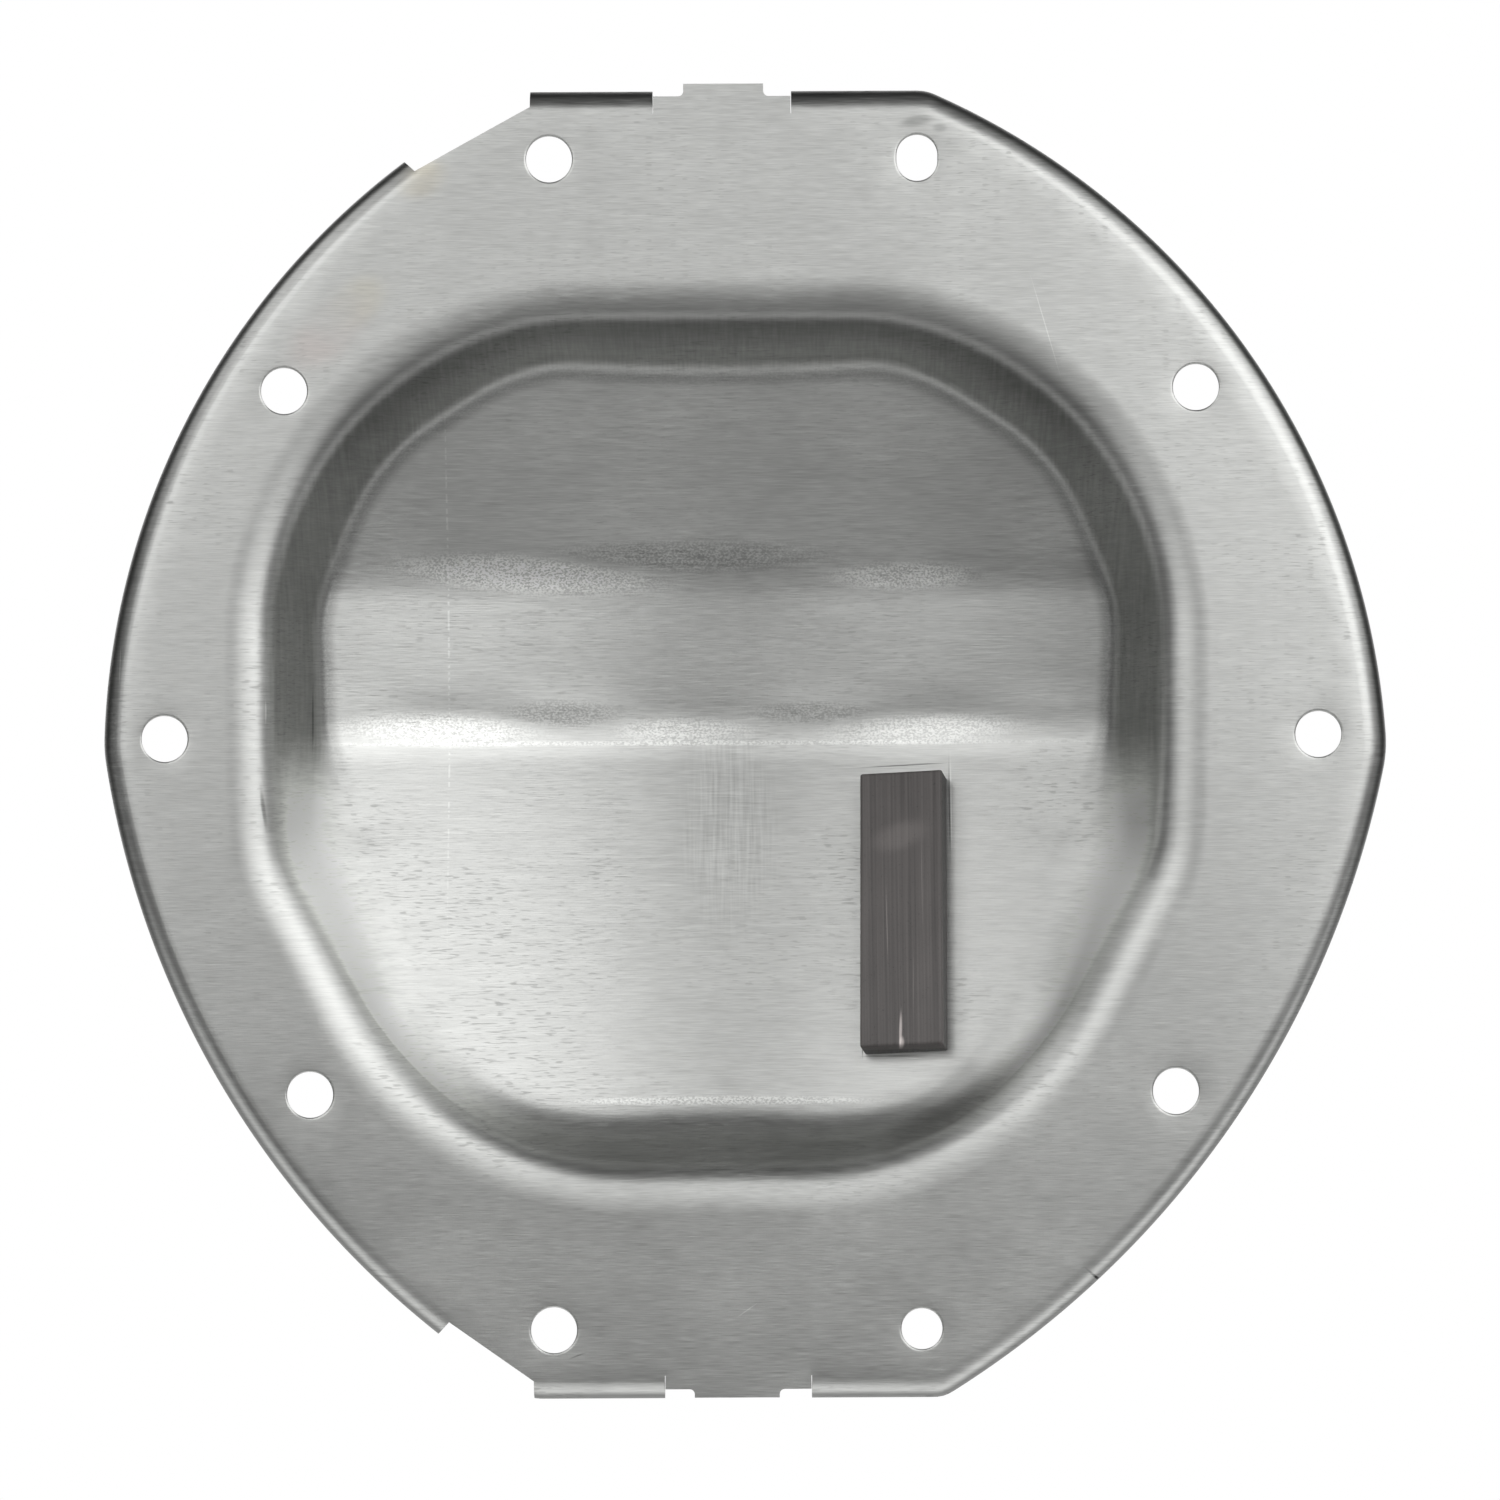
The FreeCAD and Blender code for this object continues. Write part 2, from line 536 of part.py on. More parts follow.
def cut_lip(body):
    """Cuts the gaps in the lip at the top and bottom, and shears off the two left corners."""
    windows = new_sketch(body, "lip_windows", "XZ_Plane")
    bend = size("lip_bend_radius")
    top_flat = rim_top - bend
    bottom_flat = rim_bottom + bend
    above = rim_top + CLEAR
    below = rim_bottom - CLEAR
    draw_outline(windows, [
        ("top_flat_left", size("top_window_left"), top_flat),
        ("top_flat_right", size("top_window_right"), top_flat),
        ("top_clear_right", size("top_window_right"), above),
        ("top_clear_left", size("top_window_left"), above),
    ])
    draw_outline(windows, [
        ("bottom_flat_left", size("bottom_window_left"), below),
        ("bottom_flat_right", size("bottom_window_right"), below),
        ("bottom_clear_right", size("bottom_window_right"), bottom_flat),
        ("bottom_clear_left", size("bottom_window_left"), bottom_flat),
    ])
    pocket(body, windows, "lip_window_cuts")

    tabs = new_sketch(body, "tabs", "XZ_Plane")
    top_notch = rim_top - size("top_notch_depth")
    top_tab = rim_top + size("top_tab_rise")
    bottom_notch = rim_bottom + size("bottom_notch_depth")
    bottom_tab = rim_bottom + size("bottom_tab_drop")
    draw_outline(tabs, [
        ("top_root_left", size("top_window_left"), top_flat),
        ("top_root_right", size("top_window_right"), top_flat),
        ("top_notch_right", size("top_window_right"), top_notch),
        ("top_tab_foot_right", size("top_tab_right"), top_notch),
        ("top_tab_right", size("top_tab_right"), top_tab),
        ("top_tab_left", size("top_tab_left"), top_tab),
        ("top_tab_foot_left", size("top_tab_left"), top_notch),
        ("top_notch_left", size("top_window_left"), top_notch),
    ])
    draw_outline(tabs, [
        ("bottom_root_right", size("bottom_window_right"), bottom_flat),
        ("bottom_root_left", size("bottom_window_left"), bottom_flat),
        ("bottom_notch_left", size("bottom_window_left"), bottom_notch),
        ("bottom_tab_foot_left", size("bottom_tab_left"), bottom_notch),
        ("bottom_tab_left", size("bottom_tab_left"), bottom_tab),
        ("bottom_tab_right", size("bottom_tab_right"), bottom_tab),
        ("bottom_tab_foot_right", size("bottom_tab_right"), bottom_notch),
        ("bottom_notch_right", size("bottom_window_right"), bottom_notch),
    ])
    pad(body, tabs, "flat_tabs", size("sheet_thickness"))
    feet = [(size(f"{row}_tab_{side}"), notch)
            for row, notch in (("top", top_notch), ("bottom", bottom_notch))
            for side in ("left", "right")]
    fillet(body, "notch_corners",
           lambda e: runs_back(e) and any(ends_near(e, across, up, NEAR) for across, up in feet),
           size("notch_corner_radius"))

    shears = new_sketch(body, "corner_shears", "XZ_Plane")
    upper_inner = (size("top_left_shoulder") - size("upper_cut_run"), rim_top - size("upper_cut_fall"))
    upper_lip_end = size("top_left_shoulder") + size("upper_cut_lip_end")
    lower_inner = (size("bottom_left_shoulder") - size("lower_cut_run"), rim_bottom + size("lower_cut_fall"))
    lower_lip_end = size("bottom_left_shoulder") + size("lower_cut_lip_end")
    draw_outline(shears, [
        ("upper_inner", *upper_inner),
        ("upper_top", upper_lip_end, rim_top - size("upper_cut_step")),
        ("upper_lip_end", upper_lip_end, above),
        ("upper_clear", upper_inner[0] - cosine(size("upper_cut_angle")) * CLEAR,
         upper_inner[1] + sine(size("upper_cut_angle")) * CLEAR),
    ])
    draw_outline(shears, [
        ("lower_inner", *lower_inner),
        ("lower_clear", lower_inner[0] - cosine(size("lower_cut_angle")) * CLEAR,
         lower_inner[1] - sine(size("lower_cut_angle")) * CLEAR),
        ("lower_lip_end", lower_lip_end, below),
        ("lower_bottom", lower_lip_end, rim_bottom + size("lower_cut_step")),
    ])
    pocket(body, shears, "corner_cuts")


def join(body, name, kind, other):
    """Adds another body to this one, or takes it away."""
    feature = body.newObject("PartDesign::Boolean", name)
    feature.Type = kind
    feature.addObject(other)
    doc.recompute()
    return feature


def near_mouth(edge):
    """True where an edge lies within the dish's mouth, or no further outside it than the skin does."""
    box = edge.BoundBox
    centre = size("dish_centre").value
    reach = 2 * size("sheet_thickness").value
    half_width = dish_half_width.value + reach
    return (box.XMin > centre - half_width and box.XMax < centre + half_width
            and box.ZMin > dish_bottom.value - reach and box.ZMax < dish_top.value + reach)


def punch_holes(body):
    """The eight screw holes, the close hole and the slot."""
    screws = new_sketch(body, "screw_hole_centres", "XZ_Plane")
    diameter = size("hole_diameter")
    upper_half_span = size("middle_row_half_span") - size("upper_row_step_in")
    lower_half_span = size("middle_row_half_span") - size("lower_row_step_in")
    places = [
        ("top_left", size("left_column"), size("top_row")),
        ("bottom_left", size("left_column"), size("bottom_row")),
        ("upper_left", -upper_half_span, size("upper_row")),
        ("upper_right", upper_half_span, size("upper_row")),
        ("middle_left", -size("middle_row_half_span"), as_size(0)),
        ("middle_right", size("middle_row_half_span"), as_size(0)),
        ("lower_left", -lower_half_span, size("lower_row")),
        ("lower_right", lower_half_span, size("lower_row")),
    ]
    for name, across, up in places:
        draw_circle(screws, name, across, up, diameter)
    pocket(body, screws, "screw_holes")

    placing = new_sketch(body, "placing_holes", "XZ_Plane")
    column = size("right_column")
    draw_circle(placing, "close_hole", column, size("bottom_row"), size("dowel_hole_diameter"))
    draw_slot(placing, column, size("top_row"), size("dowel_slot_width"), size("dowel_slot_height"))
    pocket(body, placing, "placing_cuts")


def seat_placement(lift):
    """Where the magnet's seat lies: its plane touches the floor's curve at the seat's centre and
    is then lifted towards the front. Local X runs across, Y up the slope and Z off the floor."""
    rise = size("floor_depth").value - size("floor_bottom_depth").value
    run = size("lower_crease").value - dish_bottom.value
    slope = rise / run
    up = size("seat_height").value
    radius = crown_radius.value - slope * (size("lower_crease").value - up)
    across = size("seat_offset").value
    back = math.sqrt(radius ** 2 - across ** 2)
    axis_depth = size("floor_depth").value - crown_radius.value
    centre = Vector(size("dish_centre").value + across, axis_depth + back, up)
    off_floor = Vector(-across / radius, -back / radius, slope).normalize()
    up_slope = (Vector(0, 0, 1) - off_floor * off_floor.z).normalize()
    turn = Rotation(up_slope.cross(off_floor), up_slope, off_floor, "ZXY")
    return Placement(centre + off_floor * lift, turn)


def coin_seat(body):
    """The shallow flat in the floor where the magnet lies."""
    seat = body.newObject("PartDesign::SubtractiveBox", "magnet_seat")
    width = size("magnet_width") + size("seat_side_gap")
    length = size("magnet_length") + size("seat_end_gap")
    bind(seat, Length=width, Width=length, Height=size("magnet_thickness"))
    to_corner = Vector(-width.value / 2, -length.value / 2, 0)
    seat.Placement = seat_placement(-size("seat_depth").value).multiply(Placement(to_corner, Rotation()))
    doc.recompute()


def make_magnet():
    """The bar magnet that holds the steel swarf, with its edges eased."""
    body = doc.addObject("PartDesign::Body", "chip_magnet")
    bar = body.newObject("PartDesign::AdditiveBox", "bar")
    bind(bar, Length=size("magnet_width"), Width=size("magnet_length"), Height=size("magnet_thickness"))
    bar.Placement = Placement(
        Vector(-size("magnet_width").value / 2, -size("magnet_length").value / 2, 0), Rotation())
    doc.recompute()
    eased = body.newObject("PartDesign::Chamfer", "eased_edges")
    top = size("magnet_thickness").value
    eased.Base = (bar, edge_names(bar.Shape, lambda e: e.BoundBox.ZMin > top - SLACK))
    bind(eased, Size=size("magnet_edge"))
    doc.recompute()
    in_seat = Placement(
        Vector(0, -size("magnet_drop").value, 0), Rotation(Vector(0, 0, 1), size("magnet_turn").value))
    body.Placement = seat_placement(-size("seat_depth").value).multiply(in_seat)
    return body


cover = doc.addObject("PartDesign::Body", "cover_pressing")
make_flange(cover)
cut_lip(cover)
space = make_dish("dish_space", as_size(0))
skin = make_dish("dish_skin", size("sheet_thickness"))
join(cover, "add_dish", "Fuse", skin)
join(cover, "hollow_dish", "Cut", space)
fillet(cover, "mouth_bend", lambda e: lies_at_depth(e, 0) and near_mouth(e), size("mouth_radius"))
thickness = size("sheet_thickness")
fillet(cover, "mouth_bend_back",
       lambda e: lies_at_depth(e, thickness.value) and near_mouth(e), size("mouth_radius") - thickness)
coin_seat(cover)
punch_holes(cover)
magnet = make_magnet()
doc.recompute()

pieces = [cover, magnet]
for thing in doc.Objects:
    if "Invalid" in thing.State or "Error" in thing.State:
        raise RuntimeError(f"{thing.Name} failed: {thing.State}")
for piece in pieces:
    if piece.Shape.isNull() or not piece.Shape.isValid() or len(piece.Shape.Solids) != 1:
        raise RuntimeError(f"{piece.Label} isn't one valid solid")
os.makedirs("parts", exist_ok=True)
for piece in pieces:
    piece.Shape.exportStep(os.path.join("parts", f"{piece.Label}.step"))
    print(piece.Label, round(piece.Shape.Volume), "mm3", piece.Shape.BoundBox)
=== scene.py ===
# %% [markdown]
# # A pressed steel differential cover
# The cover closes the back of an axle. It is one sheet of steel, 3 mm thick, that a press has drawn
# to a deep dish, punched with ten holes and turned back round its rim. A bar magnet on the floor of
# the dish catches steel dust from the gears. This lesson dresses the engineer's model of it: first
# the stage, then the sheet, then the magnet, then the finishes.

# %% Load the frame
import json
import math

import bmesh
import bpy
import numpy as np
from mathutils import Matrix, Vector
from mathutils.geometry import delaunay_2d_cdt


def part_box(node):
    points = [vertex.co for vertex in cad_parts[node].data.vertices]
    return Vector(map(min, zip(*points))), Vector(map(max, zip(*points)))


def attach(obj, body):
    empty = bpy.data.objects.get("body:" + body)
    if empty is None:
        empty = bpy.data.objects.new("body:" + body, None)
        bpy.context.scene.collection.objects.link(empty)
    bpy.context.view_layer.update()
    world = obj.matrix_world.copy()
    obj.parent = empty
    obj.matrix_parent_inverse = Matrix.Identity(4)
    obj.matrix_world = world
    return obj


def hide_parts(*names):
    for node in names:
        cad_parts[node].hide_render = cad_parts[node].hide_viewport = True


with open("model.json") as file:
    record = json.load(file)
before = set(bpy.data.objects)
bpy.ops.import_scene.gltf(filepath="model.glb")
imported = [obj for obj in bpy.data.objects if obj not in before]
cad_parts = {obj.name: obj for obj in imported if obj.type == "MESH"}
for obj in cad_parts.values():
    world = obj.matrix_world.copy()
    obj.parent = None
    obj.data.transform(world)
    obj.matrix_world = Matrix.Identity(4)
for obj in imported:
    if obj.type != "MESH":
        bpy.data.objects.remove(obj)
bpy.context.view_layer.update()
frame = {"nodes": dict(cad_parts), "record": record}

MM = 0.001

# %% [markdown]
# ## The stage
# The photograph is taken straight on, from far away with a long lens, so the sides of the dish hardly
# lean. Bare steel has little colour of its own: it shows what stands round it. So the stage counts as
# much as the metal does. It is a dim room with tall soft lamps left and right of the camera, the right
# ones stronger, a weak one low in front, a pale floor, and white paper behind the object.

# %% Camera
PHOTO_WIDTH = 300.0 * MM
CAMERA_DISTANCE = 1200.0 * MM
PHOTO_CENTRE = Vector((1.7 * MM, 0.0, -2.7 * MM))
PHOTO_ROLL = math.radians(0.25)
SENSOR_WIDTH = 36.0

camera_data = bpy.data.cameras.new("camera")
camera_data.sensor_width = SENSOR_WIDTH
camera_data.lens = camera_data.sensor_width * CAMERA_DISTANCE / PHOTO_WIDTH
camera = bpy.data.objects.new("camera", camera_data)
camera.location = PHOTO_CENTRE + Vector((0, -CAMERA_DISTANCE, 0))
camera.rotation_euler = (math.radians(90), PHOTO_ROLL, 0)
bpy.context.scene.collection.objects.link(camera)
bpy.context.scene.camera = camera
bpy.context.scene.view_settings.view_transform = "Standard"
print("lens, mm:", round(camera_data.lens))


# %% Lamps
LAMP_DISTANCE = 1200.0 * MM
AIM = Vector((0, 20.0 * MM, 0))


def soft_lamp(name, side, rise, width, height, radiance):
    """A rectangular lamp that faces the object. Side is its angle right of the camera, rise its angle
    above, both in degrees. Radiance is how bright its face looks."""
    data = bpy.data.lights.new(name, "AREA")
    data.shape = "RECTANGLE"
    data.size = width
    data.size_y = height
    data.energy = radiance * math.pi * width * height
    lamp = bpy.data.objects.new(name, data)
    turn, lift = math.radians(side), math.radians(rise)
    way = Vector((math.sin(turn) * math.cos(lift), -math.cos(turn) * math.cos(lift), math.sin(lift)))
    lamp.location = AIM + way * LAMP_DISTANCE
    lamp.rotation_euler = (-way).to_track_quat("-Z", "Y").to_euler()
    lamp.visible_camera = False
    bpy.context.scene.collection.objects.link(lamp)


# The values of each lamp are in the order that soft_lamp takes them.
LAMPS = [
    ("lamp_right", 31, 16, 1.00, 1.00, 2.00),
    ("lamp_far_right", 70, 30, 0.55, 0.75, 1.20),
    ("lamp_left", -21, 16, 0.46, 0.95, 1.75),
    ("lamp_half_left", -44, 18, 0.50, 0.80, 0.85),
    ("lamp_far_left", -70, 40, 0.70, 0.50, 1.05),
    ("lamp_low", 0, -44, 1.30, 0.70, 0.36),
]
for lamp_values in LAMPS:
    soft_lamp(*lamp_values)
print("lamps:", len(bpy.data.lights))

# %% [markdown]
# ### The room
# The world is the room. The camera sees it white on every side. Metal sees white too where the paper
# hangs, behind the object, and the dim room elsewhere, which gives the steel its dark tones. Dull
# surfaces get an even soft light from it. Light Path tells the world which kind of ray is asking.

# %% The room as a world
DULL_LIGHT = 0.80
DIM_ROOM = 0.04
PAPER_FROM, PAPER_FULL = 0.62, 0.80

world = bpy.data.worlds.new("room")
bpy.context.scene.world = world
world.use_nodes = True
world.cycles.sampling_method = "NONE"
room = world.node_tree
rays = room.nodes.new("ShaderNodeLightPath")
way = room.nodes.new("ShaderNodeTexCoord")
parts = room.nodes.new("ShaderNodeSeparateXYZ")
room.links.new(way.outputs["Generated"], parts.inputs[0])


def room_math(operation, first, second):
    """A Math node in the room's tree, for two sockets or numbers."""
    node = room.nodes.new("ShaderNodeMath")
    node.operation = operation
    for socket, given in zip(node.inputs, (first, second)):
        if isinstance(given, float):
            socket.default_value = given
        else:
            room.links.new(given, socket)
    return node.outputs[0]


paper_edge = room.nodes.new("ShaderNodeMapRange")
paper_edge.interpolation_type = "SMOOTHSTEP"
paper_edge.inputs["From Min"].default_value = PAPER_FROM
paper_edge.inputs["From Max"].default_value = PAPER_FULL
room.links.new(parts.outputs["Y"], paper_edge.inputs["Value"])
mirrored = room_math("MAXIMUM", rays.outputs["Is Glossy Ray"], rays.outputs["Is Transmission Ray"])
paper_seen = room_math("MULTIPLY", mirrored, paper_edge.outputs["Result"])
white = room_math("MAXIMUM", rays.outputs["Is Camera Ray"], paper_seen)
dull = room_math("MULTIPLY", rays.outputs["Is Diffuse Ray"], DULL_LIGHT)
level = room_math("MAXIMUM", white, room_math("MAXIMUM", dull, DIM_ROOM))
room.links.new(level, room.nodes["Background"].inputs["Color"])
print("nodes in the room:", len(room.nodes))

# %% Floor
FLOOR_DROP = 0.60
FLOOR_SIZE = 3.3
FLOOR_FRONT = -0.35
PAPER_COLOUR = (0.9, 0.9, 0.9, 1)
PAPER_ROUGHNESS = 0.9

bpy.ops.mesh.primitive_plane_add(size=FLOOR_SIZE, location=(0, FLOOR_FRONT + FLOOR_SIZE / 2, -FLOOR_DROP))
floor = bpy.context.object
floor.name = "floor"
paper = bpy.data.materials.new("white_paper")
paper.use_nodes = True
shader = paper.node_tree.nodes["Principled BSDF"]
shader.inputs["Base Color"].default_value = PAPER_COLOUR
shader.inputs["Roughness"].default_value = PAPER_ROUGHNESS
floor.data.materials.append(paper)
print("floor, metres:", FLOOR_SIZE)

# %% [markdown]
# ## The outlines
# Two closed outlines rule the sheet: the rim, and the mouth of the dish. Each is a ring of sides that
# meet in rounded corners. A side can be straight or a gentle arc. If a straight side is treated as an
# arc of enormous radius, one rule does for both: the centre of a corner's rounding is where the two
# sides cross after both have moved in by that radius.

# %% Sizes of the outlines, in millimetres
low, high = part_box("cover_pressing")
SHEET = 3.0
TAB_RISE = 1.0
RIM_TOP = high.z / MM - TAB_RISE
RIM_BOTTOM = low.z / MM
STRAIGHT = 1e6
RIM_CORNERS = [(37.6, RIM_TOP), (-44.5, RIM_TOP), (-128.0, -2.3),
               (-42.6, RIM_BOTTOM), (40.1, RIM_BOTTOM), (129.6, -3.4)]
RIM_SIDES = [STRAIGHT, 150.5, 181.5, STRAIGHT, 193.1, 152.8]
RIM_ROUNDINGS = [8.0, 8.0, 26.0, 6.0, 6.0, 26.0]

DISH_CENTRE = -4.9
HALF_WIDTH = 90.2
DISH_TOP = 83.9
DISH_BOTTOM = -87.3
SIDE_CORNER = -26.0
BOTTOM_HALF = 55.6
MOUTH_CORNERS = [
    (DISH_CENTRE + HALF_WIDTH, DISH_TOP), (DISH_CENTRE - HALF_WIDTH, DISH_TOP),
    (DISH_CENTRE - HALF_WIDTH, SIDE_CORNER), (DISH_CENTRE - BOTTOM_HALF, DISH_BOTTOM),
    (DISH_CENTRE + BOTTOM_HALF, DISH_BOTTOM), (DISH_CENTRE + HALF_WIDTH, SIDE_CORNER)]
MOUTH_ROUNDINGS = [64.0, 64.0, 30.0, 66.0, 66.0, 30.0]


# %% Rounded outline
def side_centre(start, end, radius):
    """Centre of a side's arc, on the left of the way from start to end."""
    chord = end - start
    length = np.hypot(*chord)
    left = np.array([-chord[1], chord[0]]) / length
    return (start + end) / 2 + left * math.sqrt(radius ** 2 - (length / 2) ** 2)


def circles_meet(first, first_radius, second, second_radius, near):
    """Where two circles cross, on the side of a given point."""
    apart = second - first
    distance = np.hypot(*apart)
    along = (distance ** 2 + first_radius ** 2 - second_radius ** 2) / (2 * distance)
    aside = math.sqrt(max(0.0, first_radius ** 2 - along ** 2))
    direction = apart / distance
    across = np.array([-direction[1], direction[0]])
    found = [first + direction * along + across * aside * sign for sign in (-1, 1)]
    return min(found, key=lambda p: np.hypot(*(p - near)))


def arc_samples(centre, start, end, step):
    """Points and outward normals along an arc, counter-clockwise, without its end."""
    radius = np.hypot(*(start - centre))
    first = math.atan2(*(start - centre)[::-1])
    turn = (math.atan2(*(end - centre)[::-1]) - first) % (2 * math.pi)
    count = max(2, math.ceil(radius * turn / step))
    angles = first + turn * np.arange(count) / count
    normals = np.stack([np.cos(angles), np.sin(angles)], 1)
    return centre + radius * normals, normals


def rounded_outline(corners, sides, roundings, step):
    """Points and outward normals round a closed outline, counter-clockwise from its first corner."""
    corners = [np.array(corner) for corner in corners]
    count = len(corners)
    centres = [side_centre(corners[i], corners[(i + 1) % count], sides[i]) for i in range(count)]
    rounds, ends = [], []
    for i in range(count):
        before, after = sides[i - 1] - roundings[i], sides[i] - roundings[i]
        centre = circles_meet(centres[i - 1], before, centres[i], after, corners[i])
        rounds.append(centre)
        touch = [side + (centre - side) * reach / np.hypot(*(centre - side))
                 for side, reach in ((centres[i - 1], sides[i - 1]), (centres[i], sides[i]))]
        ends.append(touch)
    points, normals = [], []
    for i in range(count):
        for part in (arc_samples(rounds[i], *ends[i], step),
                     arc_samples(centres[i], ends[i][1], ends[(i + 1) % count][0], step)):
            points.append(part[0])
            normals.append(part[1])
    return np.concatenate(points), np.concatenate(normals)


RIM_STEP, MOUTH_STEP = 1.2, 1.35
rim_points, rim_normals = rounded_outline(RIM_CORNERS, RIM_SIDES, RIM_ROUNDINGS, RIM_STEP)
mouth_points, mouth_normals = rounded_outline(MOUTH_CORNERS, [STRAIGHT] * 6, MOUTH_ROUNDINGS, MOUTH_STEP)
print("points on the rim and the mouth:", len(rim_points), len(mouth_points))

# %% [markdown]
# ## The flat blank
# A press starts from a flat blank, and so does this lesson. Every point of the blank carries a note of
# where it belongs: on the flat flange, on the turned lip, or in the dish. The blank is laid out here in
# plain Python, and a Geometry Nodes tree then plays the press.

# %% The blank's store of points
FLANGE, DISH, LIP = 0, 1, 2


class Blank:
    """Points of the flat blank with their notes, and the faces between them."""

    def __init__(self):
        self.rows = []
        self.faces = []
        self.count = 0

    def add(self, place, part, anchor=None, outward=None, stage=0.0, wall=(0.0, 0.0, 0.0), dent=0.0):
        """Adds points and gives their numbers. Wall is a draft, a mouth radius and a floor radius."""
        place = np.atleast_2d(place)
        n = len(place)
        anchor = place if anchor is None else anchor
        outward = np.zeros((n, 2)) if outward is None else outward
        columns = [np.broadcast_to(np.asarray(v, float), (n,)) for v in (part, stage, *wall, dent)]
        self.rows.append(np.column_stack([place, anchor, outward, *columns]))
        self.count += n
        return np.arange(self.count - n, self.count)

    def strip(self, one, other, closed):
        """Joins two rows of points with four-sided faces."""
        n = len(one)
        for i in range(n if closed else n - 1):
            j = (i + 1) % n
            self.faces.append((one[i], one[j], other[j], other[i]))


blank = Blank()


# %% Filling flat regions with triangles
SAME_POINT = 1e-7


def is_inside(points, loop):
    """True for each point that lies inside a closed loop."""
    x, y = points[:, 0][:, None], points[:, 1][:, None]
    x0, y0 = loop[:, 0], loop[:, 1]
    x1, y1 = np.roll(x0, -1), np.roll(y0, -1)
    crosses = (y0 > y) != (y1 > y)
    with np.errstate(divide="ignore", invalid="ignore"):
        at = x0 + (y - y0) * (x1 - x0) / (y1 - y0)
    return (crosses & (x < at)).sum(1) % 2 == 1


def fill(numbers, places, loops, outer, holes):
    """Fills the region inside one loop and outside others with triangles. Loops are lists of places in
    the row of points given."""
    edges = [(loop[i - 1], loop[i]) for loop in loops for i in range(len(loop))]
    result = delaunay_2d_cdt([Vector(p) for p in places], edges, [], 0, SAME_POINT)
    corners, faces, origin = result[0], result[2], result[3]
    if len(corners) != len(places):
        raise RuntimeError(f"the fill made {len(corners) - len(places)} points of its own")
    where = np.array([source[0] for source in origin])
    triangles = where[np.array(faces)]
    middle = places[triangles].mean(1)
    keep = is_inside(middle, places[outer])
    for hole in holes:
        keep &= ~is_inside(middle, places[hole])
    for a, b, c in numbers[triangles[keep]]:
        blank.faces.append((a, b, c))
    return int(keep.sum())


def grid_points(low, high, step):
    """A grid of points in rows that are set off by half a step, as bricks are."""
    heights = np.arange(low[1], high[1], step * math.sqrt(0.75))
    row = np.arange(low[0], high[0], step)
    found = [np.column_stack([row + (i % 2) * step / 2, np.full(len(row), height)])
             for i, height in enumerate(heights)]
    return np.concatenate(found)


def clear_of(points, others, distance):
    """The points that are further than a distance from all the others."""
    near = [np.min(np.hypot(*(others - p).T)) for p in points]
    return points[np.array(near) > distance]


# %% [markdown]
# ### The mouth of the dish
# No wall of a pressed dish is upright: it leans, so that the punch can leave. The lean and the bends
# differ round this dish. The top is steepest, and the two long lower sides run out softly into the
# floor. A small table gives the lean and the two bend radii of each kind of wall, and weights that
# depend on where a wall faces mix the rows of the table.

# %% Kinds of wall
OUTER_RADIUS = 18.0
OUTER_TURN = math.radians(18)
TOP_WALL, SIDE_WALL, CORNER_WALL, BOTTOM_WALL, SLANT_WALL, LOW_SLANT_WALL = np.array([
    [math.radians(17.0), 6.5, 5.5], [math.radians(19.5), 7.0, 5.5], [math.radians(24.0), 7.0, 6.0],
    [math.radians(24.0), 7.5, 11.0], [math.radians(34.0), 9.0, 34.0], [math.radians(29.0), 10.0, 20.0]])
SLANT_STARTS, SLANT_ENDS = 4.0, -34.0
LOW_SLANT_STARTS, LOW_SLANT_ENDS = -35.0, -65.0
CORNER_TURN, SIDE_TURN, BOTTOM_TURN = (5.0, 35.0), (60.0, 88.0), (25.0, 50.0)
BEND_STEPS, WALL_STEPS, FLOOR_BEND_STEPS, FLOOR_RINGS = 12, 3, 8, 34
OUTER_SHARE = 0.4
FLANGE_GRID = 4.0


def smoothstep(low, high, value):
    """Rises smoothly from 0 at low to 1 at high."""
    t = np.clip((value - low) / (high - low), 0, 1)
    return t * t * (3 - 2 * t)


def wall_kinds(points, normals):
    """Draft, mouth radius and floor radius at points of the mouth."""
    from_above = np.degrees(np.arccos(np.clip(normals[:, 1], -1, 1)))[:, None]
    height = points[:, 1][:, None]
    to_corner = smoothstep(*CORNER_TURN, from_above)
    to_side = smoothstep(*SIDE_TURN, from_above)
    to_slant = smoothstep(SLANT_STARTS, SLANT_ENDS, height)
    to_low_slant = smoothstep(LOW_SLANT_STARTS, LOW_SLANT_ENDS, height)
    to_bottom = 1 - smoothstep(*BOTTOM_TURN, 180 - from_above)
    wall = TOP_WALL + (CORNER_WALL - TOP_WALL) * to_corner
    wall = wall + (SIDE_WALL - wall) * to_side
    slant = SLANT_WALL + (LOW_SLANT_WALL - SLANT_WALL) * to_low_slant
    wall = wall + (slant - wall) * to_slant
    return (wall + (BOTTOM_WALL - wall) * to_bottom * to_slant).T


def bend_size(draft, radius):
    """How far the bend at the mouth reaches across and back. It starts with a wide radius."""
    turn = math.pi / 2 - draft
    across = OUTER_RADIUS * math.sin(OUTER_TURN) + radius * (np.sin(turn) - math.sin(OUTER_TURN))
    back = OUTER_RADIUS * (1 - math.cos(OUTER_TURN)) + radius * (math.cos(OUTER_TURN) - np.cos(turn))
    return across, back


mouth_wall = wall_kinds(mouth_points, mouth_normals)
bend_across, bend_back = bend_size(mouth_wall[0], mouth_wall[1])
bend_reach = bend_across - bend_back * np.tan(mouth_wall[0])
bend_start = mouth_points + mouth_normals * bend_reach[:, None]
print("walls lean, degrees:", np.degrees([mouth_wall[0].min(), mouth_wall[0].max()]).round(1).tolist())

